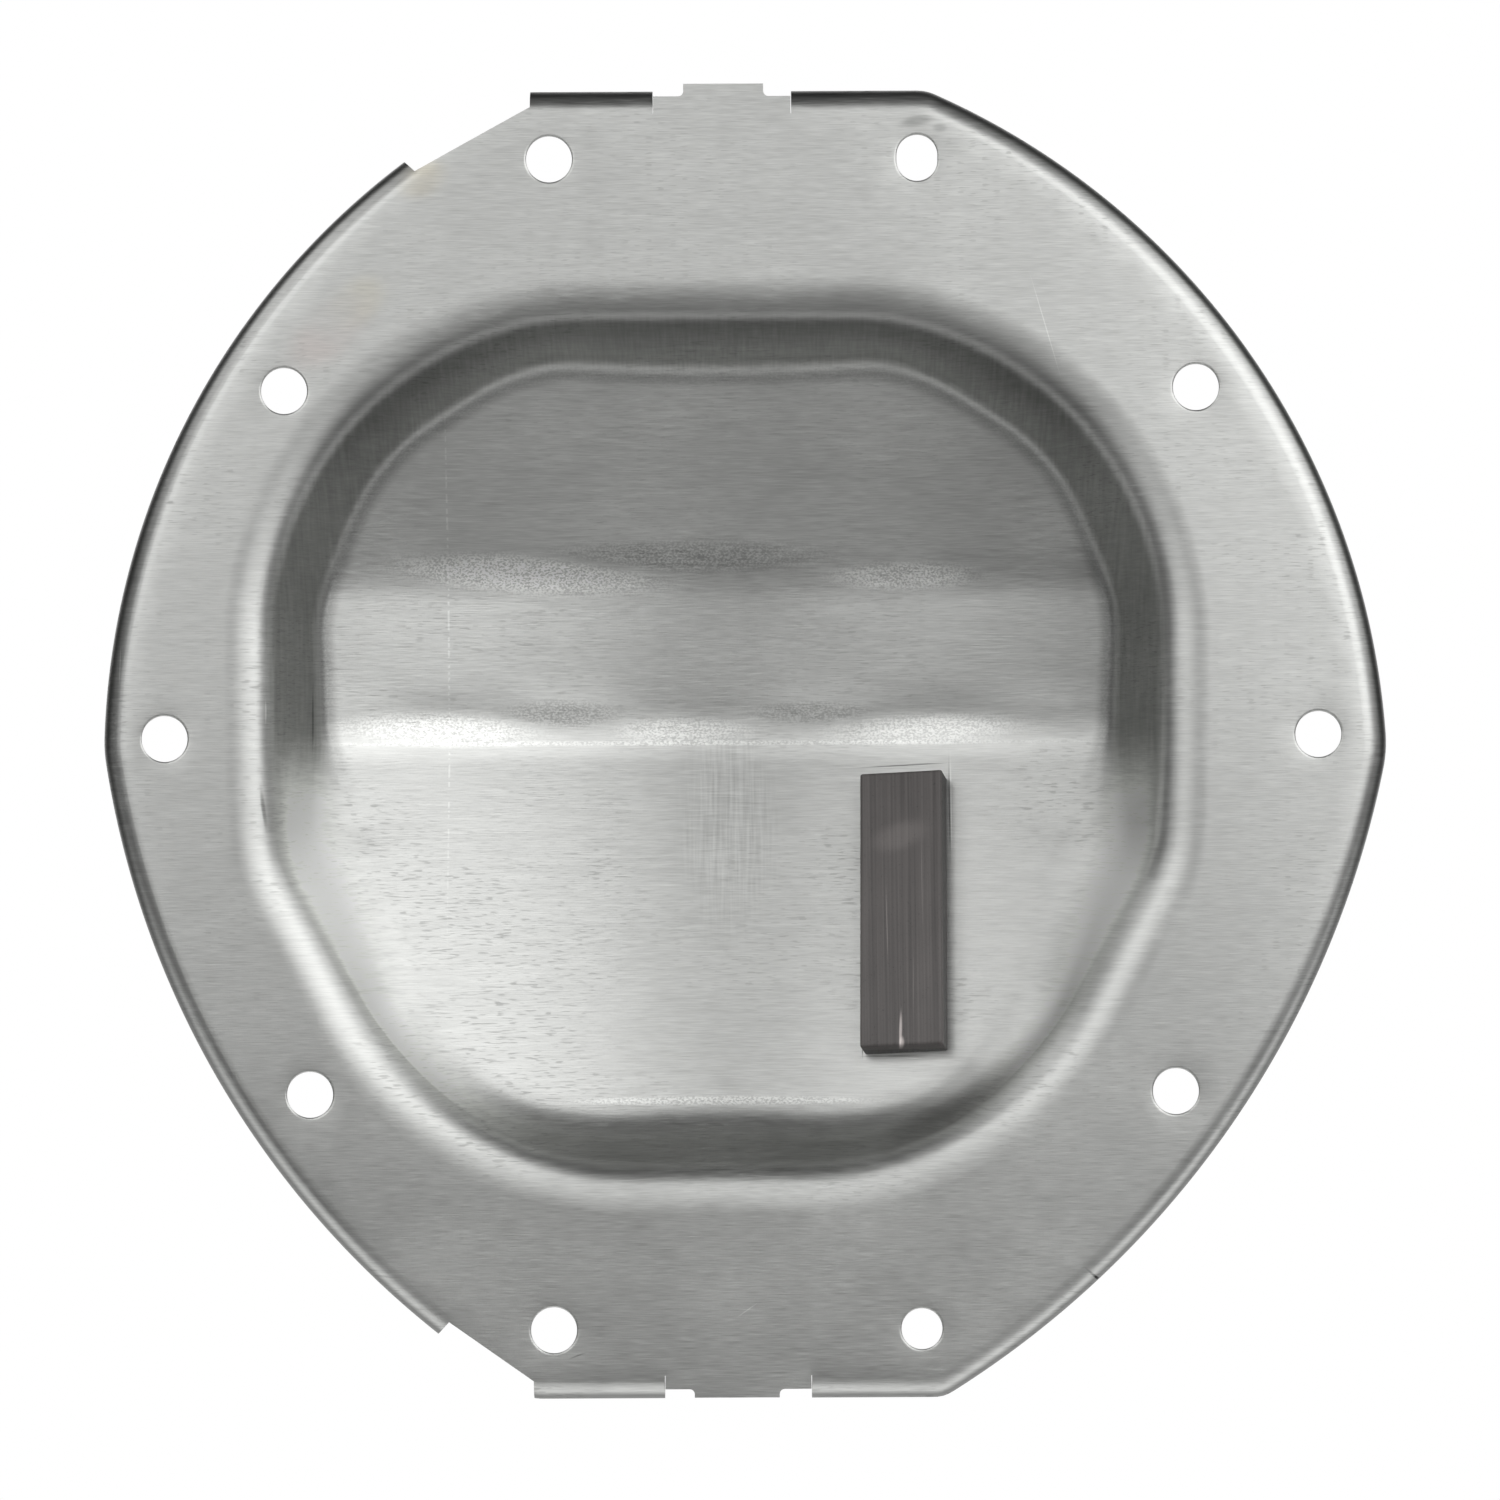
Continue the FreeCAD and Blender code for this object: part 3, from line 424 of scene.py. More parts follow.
# %% Rings from the flange to the middle of the floor
stages = np.concatenate([np.arange(BEND_STEPS) / BEND_STEPS, 1 + np.arange(WALL_STEPS) / WALL_STEPS,
                         2 + np.arange(FLOOR_BEND_STEPS) / FLOOR_BEND_STEPS,
                         3 + np.arange(FLOOR_RINGS) / FLOOR_RINGS])
pole = np.array([DISH_CENTRE, (DISH_TOP + DISH_BOTTOM) / 2])
LAST_STAGE = 4.0
rings = []
for stage in stages:
    ring = bend_start + (pole - bend_start) * stage / LAST_STAGE
    rings.append(blank.add(ring, DISH, mouth_points, mouth_normals, stage, mouth_wall))
for outer_ring, inner_ring in zip(rings, rings[1:]):
    blank.strip(outer_ring, inner_ring, closed=True)
middle = int(blank.add(pole, DISH, mouth_points[:1], mouth_normals[:1], LAST_STAGE, mouth_wall[:, 0])[0])
for one, other in zip(rings[-1], np.roll(rings[-1], -1)):
    blank.faces.append((one, other, middle))
print("rings in the dish:", len(rings), "each of", len(mouth_points), "points")

# %% [markdown]
# ### The turned lip
# The rim is turned back through a right angle. The lip is missing where the top and bottom tabs lie
# flat, and where two corners are sheared off on the left. Each stretch of lip is a strip of rows that
# follow the rim. Where a shear runs through the bend, the inner rows reach further than the outer ones.

# %% Stretches of the lip
LIP_HEIGHT = 8.0
LIP_BEND = 5.0
LIP_BEND_STEPS, LIP_WALL_STEPS = 7, 3
TAPER_LENGTH = 22.0
TOP_WINDOW, BOTTOM_WINDOW = (-17.3, 10.5), (-15.9, 13.6)
TOP_TAB, BOTTOM_TAB = (-11.1, 4.9), (-9.9, 7.1)
TOP_NOTCH, BOTTOM_NOTCH, BOTTOM_TAB_DROP = 1.5, 2.3, 0.6
UPPER_SHEAR = np.array([(-41.8, 126.1), (-64.9, 113.4)])
UPPER_SHEAR_ANGLE = math.radians(180 - 43.7)
LOWER_SHEAR = np.array([(-59.0, -116.9), (-42.1, -128.8)])
LOWER_SHEAR_ANGLE = math.radians(180 + 48.7)

RIM_SAMPLES, CUT_SAMPLES = 20000, 6001
CUT_SEARCH = 15.0

rim_pieces = np.diff(rim_points, axis=0, append=rim_points[:1])
rim_length = np.concatenate([[0], np.cumsum(np.hypot(*rim_pieces.T))])
whole_rim = rim_length[-1]


def on_rim(length):
    """Fold points and outward normals at lengths round the rim."""
    lengths = np.mod(length, whole_rim)
    wrapped = [np.concatenate([values, values[:1]]) for values in (rim_points, rim_normals)]
    point, normal = [np.column_stack([np.interp(lengths, rim_length, values[:, i]) for i in (0, 1)])
                     for values in wrapped]
    normal /= np.hypot(*normal.T)[:, None]
    return point - normal * LIP_BEND, normal


def length_at(point):
    """Length round the rim at the place nearest to a point."""
    fine = np.linspace(0, whole_rim, RIM_SAMPLES, endpoint=False)
    fold, normal = on_rim(fine)
    return fine[np.argmin(np.hypot(*(fold + normal * LIP_BEND - point).T))]


def beyond_fold(point):
    """How far a point lies outside the fold line."""
    fold, normal = on_rim(np.array([length_at(point)]))
    return float(np.dot(point - fold[0], normal[0]))


def length_on_cut(cut, angle, out, near):
    """Length round the rim where a row at a distance outside the fold meets a cut."""
    fine = np.linspace(near - CUT_SEARCH, near + CUT_SEARCH, CUT_SAMPLES)
    fold, normal = on_rim(fine)
    reach = fold + normal * out - cut
    side = math.cos(angle) * reach[:, 1] - math.sin(angle) * reach[:, 0]
    crossings = np.where(np.diff(np.sign(side)) != 0)[0]
    return fine[crossings[np.argmin(abs(fine[crossings] - near))]]


def lip_strip(start, end, marks):
    """One stretch of lip between two cuts, each with a point and an angle. Marks are distances outside
    the fold that get a row of their own. Gives the rows' numbers and places and distances."""
    stages = sorted({*(np.arange(LIP_BEND_STEPS) / LIP_BEND_STEPS),
                     *(math.asin(mark / LIP_BEND) / (math.pi / 2) for mark in marks),
                     *(1 + np.arange(LIP_WALL_STEPS + 1) / LIP_WALL_STEPS)})
    near = [length_at(np.array(point)) for point, _ in (start, end)]
    if near[1] < near[0]:
        near[1] += whole_rim
    first, last = [length_on_cut(*cut, LIP_BEND, place) for cut, place in zip((start, end), near)]
    base = np.linspace(first, last, math.ceil((last - first) / RIM_STEP) + 1)
    rows = []
    for stage in stages:
        out = LIP_BEND * math.sin(min(stage, 1) * math.pi / 2)
        shift = [length_on_cut(*cut, out, place) - place for cut, place in ((start, first), (end, last))]
        length = (base + shift[0] * np.clip(1 - (base - first) / TAPER_LENGTH, 0, 1)
                  + shift[1] * np.clip(1 - (last - base) / TAPER_LENGTH, 0, 1))
        fold, normal = on_rim(length)
        place = fold + normal * out
        rows.append((blank.add(place, LIP, fold, normal, stage), place, out))
    for inner_row, outer_row in zip(rows, rows[1:]):
        blank.strip(outer_row[0], inner_row[0], closed=False)
    return rows


def upright(x, z):
    """A cut that runs straight up through a point."""
    return (np.array([x, z]), math.pi / 2)


upper_marks = [max(0.0, beyond_fold(point)) for point in UPPER_SHEAR]
lower_marks = [max(0.0, beyond_fold(point)) for point in LOWER_SHEAR]
stretches = [
    lip_strip(upright(TOP_WINDOW[0], RIM_TOP), upright(UPPER_SHEAR[0][0], RIM_TOP), upper_marks),
    lip_strip((UPPER_SHEAR[1], UPPER_SHEAR_ANGLE), (LOWER_SHEAR[0], LOWER_SHEAR_ANGLE),
              upper_marks + lower_marks),
    lip_strip(upright(LOWER_SHEAR[1][0], RIM_BOTTOM), upright(BOTTOM_WINDOW[0], RIM_BOTTOM), lower_marks),
    lip_strip(upright(BOTTOM_WINDOW[1], RIM_BOTTOM), upright(TOP_WINDOW[1], RIM_TOP), []),
]
print("shears lie beyond the fold by, mm:", [round(mark, 2) for mark in upper_marks + lower_marks])

# %% [markdown]
# ### The flange
# The flat between the mouth and the fold is one region with ten holes. The record says where the
# screws go, so the holes are read from it. A punched hole has a rolled front edge, a few tenths of a
# millimetre wide, which catches the light: three close rings round each hole give it.

# %% Holes from the record
HOLE_POINTS = 56
ROLL_OVER = [(0.0, 0.22), (0.12, 0.09), (0.30, 0.02), (0.55, 0.0)]
LOCATING_RADIUS = 4.1
SLOT_STRAIGHT = 1.0


def hole_places(mounts):
    """Centre, radius and straight length of every hole, in millimetres."""
    found = []
    for mount in mounts:
        x, _, z = [v / MM for v in mount["pos_m"]]
        dims = mount["dims"]
        across, up = dims.get("spacing_x_mm", 0) / 2, dims.get("spacing_y_mm", 0) / 2
        if mount["kind"] == "bolt_pattern":
            for side in (-1, 1):
                found.append(((x + across * side, z + up * side), dims["hole_r_mm"], 0.0))
        elif mount["name"] == "locating_hole":
            found.append(((x, z), LOCATING_RADIUS, 0.0))
        elif mount["name"] == "locating_slot":
            found.append(((x, z), LOCATING_RADIUS, SLOT_STRAIGHT))
    return found


def hole_ring(centre, radius, straight):
    """A ring of points round a hole, counter-clockwise."""
    angle = (np.arange(HOLE_POINTS) + 0.5) / HOLE_POINTS * 2 * math.pi
    ring = np.array(centre) + radius * np.column_stack([np.cos(angle), np.sin(angle)])
    ring[:, 1] += np.sign(np.sin(angle)) * straight / 2
    return ring


holes = hole_places(frame["record"]["mounts"])
print("holes:", len(holes))

# %% The flange's outer edge
TAB_GAP = 0.15
TAB_ROUNDING = 1.0
TAB_ROUND_POINTS = 5
SHEAR_POINTS = 14
TINY = 1e-6


def inner_round(corner, start_angle):
    """Points of a small quarter-round in an inner corner, from one leg to the other."""
    angles = np.radians(start_angle) + np.linspace(0, math.pi / 2, TAB_ROUND_POINTS)
    return np.array(corner) + TAB_ROUNDING * np.column_stack([np.cos(angles), np.sin(angles)])


def tab_edge(window, tab, fold, notch, end, side):
    """The edge of a flat tab, from the right end of its window to the left. Side is 1 at the top."""
    left, right = window[0] + TAB_GAP, window[1] - TAB_GAP
    foot = notch + side * TAB_ROUNDING
    if side > 0:
        right_round = inner_round((tab[1] + TAB_ROUNDING, foot), 180)[::-1]
        left_round = inner_round((tab[0] - TAB_ROUNDING, foot), 270)[::-1]
    else:
        right_round = inner_round((tab[1] + TAB_ROUNDING, foot), 90)
        left_round = inner_round((tab[0] - TAB_ROUNDING, foot), 0)
    parts = [[(right, fold), (right, notch)], right_round, [(tab[1], end), (tab[0], end)], left_round,
             [(left, notch), (left, fold)]]
    return np.concatenate([np.array(part, float).reshape(-1, 2) for part in parts])


top_tab = tab_edge(TOP_WINDOW, TOP_TAB, RIM_TOP - LIP_BEND, RIM_TOP - TOP_NOTCH, RIM_TOP + TAB_RISE, 1)
bottom_tab = tab_edge(BOTTOM_WINDOW, BOTTOM_TAB, RIM_BOTTOM + LIP_BEND, RIM_BOTTOM + BOTTOM_NOTCH,
                      RIM_BOTTOM + BOTTOM_TAB_DROP, -1)[::-1]


def shear_edge(before, shear, after):
    """The flange's edge from one stretch of lip to the next, along a shear."""
    marks = [max(0.0, beyond_fold(point)) for point in shear]
    leaving = [row for row in before if 0 < row[2] <= marks[0] + TINY]
    coming = [row for row in after if 0 < row[2] <= marks[1] + TINY][::-1]
    share = np.linspace(0, 1, SHEAR_POINTS)[1 if leaving else 0:-1 if coming else None, None]
    line = shear[0] + (shear[1] - shear[0]) * share
    out = np.maximum([beyond_fold(point) for point in line], 0)
    numbers = blank.add(line, FLANGE, dent=LIP_BEND - np.sqrt(LIP_BEND ** 2 - out ** 2))
    parts = [[row[0][-1] for row in leaving], numbers, [row[0][0] for row in coming]]
    places = [[row[1][-1] for row in leaving], line, [row[1][0] for row in coming]]
    return (np.concatenate([np.array(part, int) for part in parts]),
            np.concatenate([np.array(part, float).reshape(-1, 2) for part in places]))


edge_parts = [
    stretches[0][0][:2], shear_edge(stretches[0], UPPER_SHEAR, stretches[1]),
    stretches[1][0][:2], shear_edge(stretches[1], LOWER_SHEAR, stretches[2]),
    stretches[2][0][:2], (blank.add(bottom_tab, FLANGE), bottom_tab),
    stretches[3][0][:2], (blank.add(top_tab, FLANGE), top_tab),
]
edge_numbers = np.concatenate([part[0] for part in edge_parts])
edge_places = np.concatenate([part[1] for part in edge_parts])
print("points on the flange's edge:", len(edge_numbers))

# %% Fill the flange
SUPPORT = 0.5
CLEAR_SHARE = 0.4
region_numbers, region_places, loops = [edge_numbers], [edge_places], [list(range(len(edge_numbers)))]


def add_loop(numbers, places):
    """Adds a ring to the flange's region and gives its places in it."""
    first = sum(len(n) for n in region_numbers)
    region_numbers.append(numbers)
    region_places.append(places)
    loops.append(list(range(first, first + len(numbers))))
    return loops[-1]


mouth_loop = add_loop(rings[0], bend_start)
support = mouth_points + mouth_normals * (bend_reach + SUPPORT)[:, None]
add_loop(blank.add(support, FLANGE), support)
hole_loops = []
for centre, radius, straight in holes:
    for step, drop in ROLL_OVER:
        ring = hole_ring(centre, radius + step, straight)
        numbers = blank.add(ring, FLANGE, dent=drop)
        added = add_loop(numbers, ring)
        if step == 0:
            hole_loops.append(added)

flat = grid_points(edge_places.min(0), edge_places.max(0), FLANGE_GRID)
flat = flat[is_inside(flat, edge_places) & ~is_inside(flat, bend_start)]
for centre, radius, _ in holes:
    flat = flat[np.hypot(*(flat - centre).T) > radius + FLANGE_GRID / 2]
flat = clear_of(flat, np.concatenate(region_places), FLANGE_GRID * CLEAR_SHARE)
region_numbers.append(blank.add(flat, FLANGE))
region_places.append(flat)
made = fill(np.concatenate(region_numbers), np.concatenate(region_places), loops, loops[0],
            [mouth_loop, *hole_loops])
print("triangles on the flange:", made)

# %% [markdown]
# ## The press
# Now the blank is pressed. The tree reads the notes on each point and moves it. Formulas are easier to
# read as sums than as boxes with wires, so a small class turns Python's signs into Math nodes.


# %% Formulas as nodes
class Number:
    """A number inside a node tree. Sums with it add Math nodes."""

    def __init__(self, tree, source):
        self.tree = tree
        self.source = source

    def apply(self, operation, *others):
        node = self.tree.nodes.new("ShaderNodeMath")
        node.operation = operation
        for socket, value in zip(node.inputs, (self, *others)):
            if isinstance(value, Number):
                self.tree.links.new(value.source, socket)
            else:
                socket.default_value = value
        return Number(self.tree, node.outputs[0])

    def __add__(self, other):
        return self.apply("ADD", other)

    def __sub__(self, other):
        return self.apply("SUBTRACT", other)

    def __mul__(self, other):
        return self.apply("MULTIPLY", other)

    def __truediv__(self, other):
        return self.apply("DIVIDE", other)

    __radd__ = __add__
    __rmul__ = __mul__

    def __rsub__(self, other):
        return self * -1 + other

    def __neg__(self):
        return self * -1

    def root(self):
        return self.apply("SQRT")

    def sine(self):
        return self.apply("SINE")

    def cosine(self):
        return self.apply("COSINE")

    def tangent(self):
        return self.apply("TANGENT")

    def arctangent(self):
        return self.apply("ARCTANGENT")

    def lowest(self, other):
        return self.apply("MINIMUM", other)

    def highest(self, other):
        return self.apply("MAXIMUM", other)

    def power(self, exponent):
        return self.apply("POWER", exponent)

    def above(self, other):
        return self.apply("GREATER_THAN", other)

    def clamp(self):
        return self.highest(0.0).lowest(1.0)

    def mix(self, low, high):
        """Runs from low to high as this number runs from 0 to 1."""
        return (high - low) * self + low

    def smooth(self, low, high):
        """Rises smoothly from 0 at low to 1 at high."""
        node = self.tree.nodes.new("ShaderNodeMapRange")
        node.interpolation_type = "SMOOTHSTEP"
        node.inputs["From Min"].default_value = low
        node.inputs["From Max"].default_value = high
        self.tree.links.new(self.source, node.inputs["Value"])
        return Number(self.tree, node.outputs["Result"])


def new_tree(kind, name, inputs, outputs):
    """A node group with named inputs and outputs. Inputs give a name and a value, of one number or three."""
    tree = bpy.data.node_groups.new(name, kind)
    for label, socket_type in outputs:
        tree.interface.new_socket(label, in_out="OUTPUT", socket_type=socket_type)
    for label, value in inputs:
        socket_type = "NodeSocketVector" if isinstance(value, tuple) else "NodeSocketFloat"
        made = tree.interface.new_socket(label, in_out="INPUT", socket_type=socket_type)
        made.default_value = value
    return tree, tree.nodes.new("NodeGroupInput"), tree.nodes.new("NodeGroupOutput")


# %% [markdown]
# ### The floor of the dish
# The floor is part of a wide cylinder that stands upright, and its depth changes in three flats with
# two soft creases between them. The press leaves shallow waves where the lower crease begins. Each
# crease is a slope that turns gradually: the depth is the running sum of that slope, which for a turn
# of even roundness is a parabola.

# %% The floor's depth as a group
FLOOR_SIZES = [
    ("Dish Centre", DISH_CENTRE * MM), ("Crown Radius", 200.0 * MM), ("Floor Depth", 42.5 * MM),
    ("Upper Crease", 33.5 * MM), ("Upper Crease Reach", 5.4 * MM), ("Lower Crease", -0.2 * MM),
    ("Lower Crease Reach", 5.2 * MM), ("Top Slope", 17.0 / 51.4), ("Middle Slope", 2.5 / 33.7),
    ("Bottom Slope", 27.6 / 87.5), ("Wave Height", 0.22 * MM), ("Wave Length", 50.0 * MM),
    ("Wave Start", -60.3 * MM), ("Wave Level", 4.5 * MM), ("Wave Reach", 4.5 * MM)]

floor_tree, floor_in, floor_out = new_tree(
    "GeometryNodeTree", "floor_depth", [("Across", 0.0), ("Up", 0.0), *FLOOR_SIZES],
    [("Depth", "NodeSocketFloat")])
value = {socket.name: Number(floor_tree, socket) for socket in floor_in.outputs if socket.name}


def turned(distance, reach):
    """Running sum of a slope that turns from 0 to 1 within a reach each side of a crease."""
    before = (distance + reach).highest(0.0)
    after = (distance - reach).highest(0.0)
    return (before * before - after * after) / (4.0 * reach)


above_upper = turned(value["Up"] - value["Upper Crease"], value["Upper Crease Reach"])
below_lower = turned(value["Lower Crease"] - value["Up"], value["Lower Crease Reach"])
line = (value["Floor Depth"] - value["Middle Slope"] * (value["Up"] - value["Lower Crease"])
        - (value["Top Slope"] - value["Middle Slope"]) * above_upper
        - (value["Bottom Slope"] + value["Middle Slope"]) * below_lower)
phase = (value["Across"] - value["Wave Start"]) * (2 * math.pi) / value["Wave Length"]
level = (value["Up"] - value["Wave Level"]) / value["Wave Reach"]
wave = value["Wave Height"] * phase.cosine() * (-(level * level)).apply("EXPONENT")
rho = value["Crown Radius"] + line - value["Floor Depth"]
aside = value["Across"] - value["Dish Centre"]
depth = (rho * rho - aside * aside).root() - (value["Crown Radius"] - value["Floor Depth"]) + wave
floor_tree.links.new(depth.source, floor_out.inputs["Depth"])
print("nodes in the floor's formula:", len(floor_tree.nodes))

# %% [markdown]
# ### From flange to floor
# Seen in section, the sheet bends over at the mouth, runs down the wall and bends out on to the floor.
# The foot of the wall is where the wall's line meets the floor. It is found by trying a depth, looking
# how deep the floor is there, and trying again.

# %% The press as a tree
PRESS_SIZES = [
    ("Outer Radius", OUTER_RADIUS * MM), ("Outer Turn", OUTER_TURN), ("Outer Share", OUTER_SHARE),
    ("Pole Across", pole[0] * MM), ("Pole Up", pole[1] * MM),
    ("Lip Bend Radius", LIP_BEND * MM), ("Lip Height", LIP_HEIGHT * MM)]

press, press_in, press_out = new_tree(
    "GeometryNodeTree", "press_cover", [], [("Geometry", "NodeSocketGeometry")])
press.interface.new_socket("Geometry", in_out="INPUT", socket_type="NodeSocketGeometry")
press.interface.new_socket("Material", in_out="INPUT", socket_type="NodeSocketMaterial")
for label, default in FLOOR_SIZES + PRESS_SIZES:
    press.interface.new_socket(label, in_out="INPUT", socket_type="NodeSocketFloat").default_value = default
print("named sizes of the press:", len(FLOOR_SIZES + PRESS_SIZES))
size = {label: Number(press, press_in.outputs[label]) for label, _ in FLOOR_SIZES + PRESS_SIZES}


def note(name, kind):
    """Reads one of the blank's notes."""
    node = press.nodes.new("GeometryNodeInputNamedAttribute")
    node.data_type = kind
    node.inputs["Name"].default_value = name
    return node.outputs["Attribute"]


def pair(name):
    """Reads a note that holds a place seen from the front: across and up."""
    node = press.nodes.new("ShaderNodeSeparateXYZ")
    press.links.new(note(name, "FLOAT_VECTOR"), node.inputs[0])
    return Number(press, node.outputs["X"]), Number(press, node.outputs["Z"])


def floor_at(across, up):
    """Depth of the floor at a place seen from the front."""
    node = press.nodes.new("GeometryNodeGroup")
    node.node_tree = floor_tree
    press.links.new(across.source, node.inputs["Across"])
    press.links.new(up.source, node.inputs["Up"])
    for label, _ in FLOOR_SIZES:
        press.links.new(size[label].source, node.inputs[label])
    return Number(press, node.outputs["Depth"])


def move(geometry, chosen, across, depth, up):
    """Sets the place of the points that a note chooses."""
    place = press.nodes.new("ShaderNodeCombineXYZ")
    for axis, number in (("X", across), ("Y", depth), ("Z", up)):
        press.links.new(number.source, place.inputs[axis])
    node = press.nodes.new("GeometryNodeSetPosition")
    press.links.new(geometry, node.inputs["Geometry"])
    press.links.new(note(chosen, "BOOLEAN"), node.inputs["Selection"])
    press.links.new(place.outputs[0], node.inputs["Position"])
    return node.outputs["Geometry"]


# %% The dish in section
FOOT_TRIES = 3
PROBE = 4.0 * MM
LEAST_WALL = 0.95
anchor_x, anchor_z = pair("anchor")
outward_x, outward_z = pair("outward")
stage, draft, mouth, inside, dent = [
    Number(press, note(name, "FLOAT"))
    for name in ("stage", "draft", "mouth_radius", "floor_radius", "dent")]
steep = math.pi / 2 - draft
lean = draft.tangent()
outer_turn, outer_radius = size["Outer Turn"], size["Outer Radius"]


def inward(distance):
    """A place at a distance in from the mouth's line."""
    return anchor_x - outward_x * distance, anchor_z - outward_z * distance


def bend(outer, inner):
    """Across and back along the mouth's bend, for the turn made by its outer and its inner part."""
    across = outer_radius * outer.sine() + mouth * (inner.sine() - outer_turn.sine())
    back = outer_radius * (1.0 - outer.cosine()) + mouth * (outer_turn.cosine() - inner.cosine())
    return across, back


foot = floor_at(anchor_x, anchor_z)
for _ in range(FOOT_TRIES):
    foot = floor_at(*inward(foot * lean))
foot_in = foot * lean
climb = ((floor_at(*inward(foot_in + PROBE)) - floor_at(*inward(foot_in))) / PROBE).arctangent()
half_turn = ((steep - climb) / 2).tangent()
bend_end = bend(outer_turn, steep)
room = (foot - bend_end[1]) / draft.cosine() * LEAST_WALL
inside = inside.lowest(room / half_turn)
reach = inside * half_turn

outer = (stage / size["Outer Share"]).clamp() * outer_turn
inner = ((stage - size["Outer Share"]) / (1.0 - size["Outer Share"])).clamp().mix(outer_turn, steep)
bend_in, bend_deep = bend(outer, inner)
bend_in = bend_in - bend_end[0] + bend_end[1] * lean
wall_end_in = foot_in - reach * steep.cosine()
wall_end_deep = foot - reach * steep.sine()
along_wall = (stage - 1.0).clamp()
wall_in = along_wall * (wall_end_in - bend_end[1] * lean)
wall_deep = along_wall * (wall_end_deep - bend_end[1])
angle = (stage - 2.0).clamp().mix(steep, climb)
is_turning = stage.above(2.0)
turn_in = inside * (steep.sine() - angle.sine()) * is_turning
turn_deep = inside * (angle.cosine() - steep.cosine()) * is_turning
section_in = bend_in + wall_in + turn_in
section_deep = bend_deep + wall_deep + turn_deep
print("nodes for the section:", len(press.nodes))

# %% The floor inside the section
MISFIT_FADE = 12.0
to_pole = (stage - 3.0).clamp()
edge_x, edge_z = inward(section_in)
floor_x = to_pole.mix(edge_x, size["Pole Across"])
floor_z = to_pole.mix(edge_z, size["Pole Up"])
misfit = (section_deep - floor_at(edge_x, edge_z)) * (1.0 - to_pole).power(MISFIT_FADE)
floor_deep = floor_at(floor_x, floor_z) + misfit
is_floor = stage.above(3.0)
dish_x = is_floor.mix(edge_x, floor_x)
dish_z = is_floor.mix(edge_z, floor_z)
dish_deep = is_floor.mix(section_deep, floor_deep)
geometry = move(press_in.outputs["Geometry"], "in_dish", dish_x, dish_deep, dish_z)

# %% The lip and the rolled edges
roll = stage.lowest(1.0) * (math.pi / 2)
lip_out = size["Lip Bend Radius"] * roll.sine()
lip_deep = (size["Lip Bend Radius"] * (1.0 - roll.cosine())
            + (stage - 1.0).clamp() * (size["Lip Height"] - size["Lip Bend Radius"]))
geometry = move(geometry, "in_lip", anchor_x + outward_x * lip_out, lip_deep, anchor_z + outward_z * lip_out)

offset = press.nodes.new("ShaderNodeCombineXYZ")
press.links.new(dent.source, offset.inputs["Y"])
drop = press.nodes.new("GeometryNodeSetPosition")
press.links.new(geometry, drop.inputs["Geometry"])
press.links.new(offset.outputs[0], drop.inputs["Offset"])
realize = press.nodes.new("GeometryNodeRealizeInstances")
press.links.new(drop.outputs["Geometry"], realize.inputs["Geometry"])
dress = press.nodes.new("GeometryNodeSetMaterial")
press.links.new(realize.outputs["Geometry"], dress.inputs["Geometry"])
press.links.new(press_in.outputs["Material"], dress.inputs["Material"])
press.links.new(dress.outputs["Geometry"], press_out.inputs["Geometry"])
print("nodes in the press:", len(press.nodes))

# %% [markdown]
# ## The finishes
# Two effects are used again and again, so each is a shader node group with named inputs. Grain is
# noise that is stretched across or up: rolling leaves long fine lines in sheet, and grinding leaves
# them in ferrite. A patch is a soft oval with a place, a size and a turn: a burnished crease with its
# painted highlight, a painted edge of the seat, a stain and a scratch are all patches. A Mapping node
# of the texture kind moves, turns and sizes the oval, and a dot product then gives the square of the
# distance from its middle. A patch runs straight through the sheet, so it has no end from front to
# back. Both read the object's own coordinates, so they stay on the piece.

# %% Grain as a group
NOWHERE = (0.0, 0.0, 0.0)
grain_tree, grain_in, grain_out = new_tree(
    "ShaderNodeTree", "grain", [("Place", NOWHERE), ("Size", (MM, MM, MM)), ("Detail", 1.0)],
    [("Value", "NodeSocketFloat")])
stretch = grain_tree.nodes.new("ShaderNodeVectorMath")
stretch.operation = "DIVIDE"
noise = grain_tree.nodes.new("ShaderNodeTexNoise")
noise.inputs["Scale"].default_value = 1.0
grain_tree.links.new(grain_in.outputs["Place"], stretch.inputs[0])
grain_tree.links.new(grain_in.outputs["Size"], stretch.inputs[1])
grain_tree.links.new(stretch.outputs[0], noise.inputs["Vector"])
grain_tree.links.new(grain_in.outputs["Detail"], noise.inputs["Detail"])
grain_tree.links.new(noise.outputs["Fac"], grain_out.inputs["Value"])
print("nodes in the grain:", len(grain_tree.nodes))

# %% Patch as a group
FADE_POWER = 2.0
MAPPING_INPUTS = {"Place": "Vector", "Middle": "Location", "Half Sizes": "Scale", "Turn": "Rotation"}
patch_tree, patch_in, patch_out = new_tree(
    "ShaderNodeTree", "patch",
    [("Place", NOWHERE), ("Middle", NOWHERE), ("Half Sizes", (MM, MM, MM)), ("Turn", NOWHERE)],
    [("Mask", "NodeSocketFloat")])
oval = patch_tree.nodes.new("ShaderNodeMapping")
oval.vector_type = "TEXTURE"
for given, wanted in MAPPING_INPUTS.items():
    patch_tree.links.new(patch_in.outputs[given], oval.inputs[wanted])
spread = patch_tree.nodes.new("ShaderNodeVectorMath")
spread.operation = "DOT_PRODUCT"
for socket in spread.inputs[:2]:
    patch_tree.links.new(oval.outputs[0], socket)
from_middle = Number(patch_tree, spread.outputs["Value"])
fade = from_middle.power(FADE_POWER) * -1.0
patch_tree.links.new(fade.apply("EXPONENT").source, patch_out.inputs["Mask"])
print("nodes in the patch:", len(patch_tree.nodes))

# %% A material in short calls
NO_END = 1000.0
FRONT_LEAST = 0.3


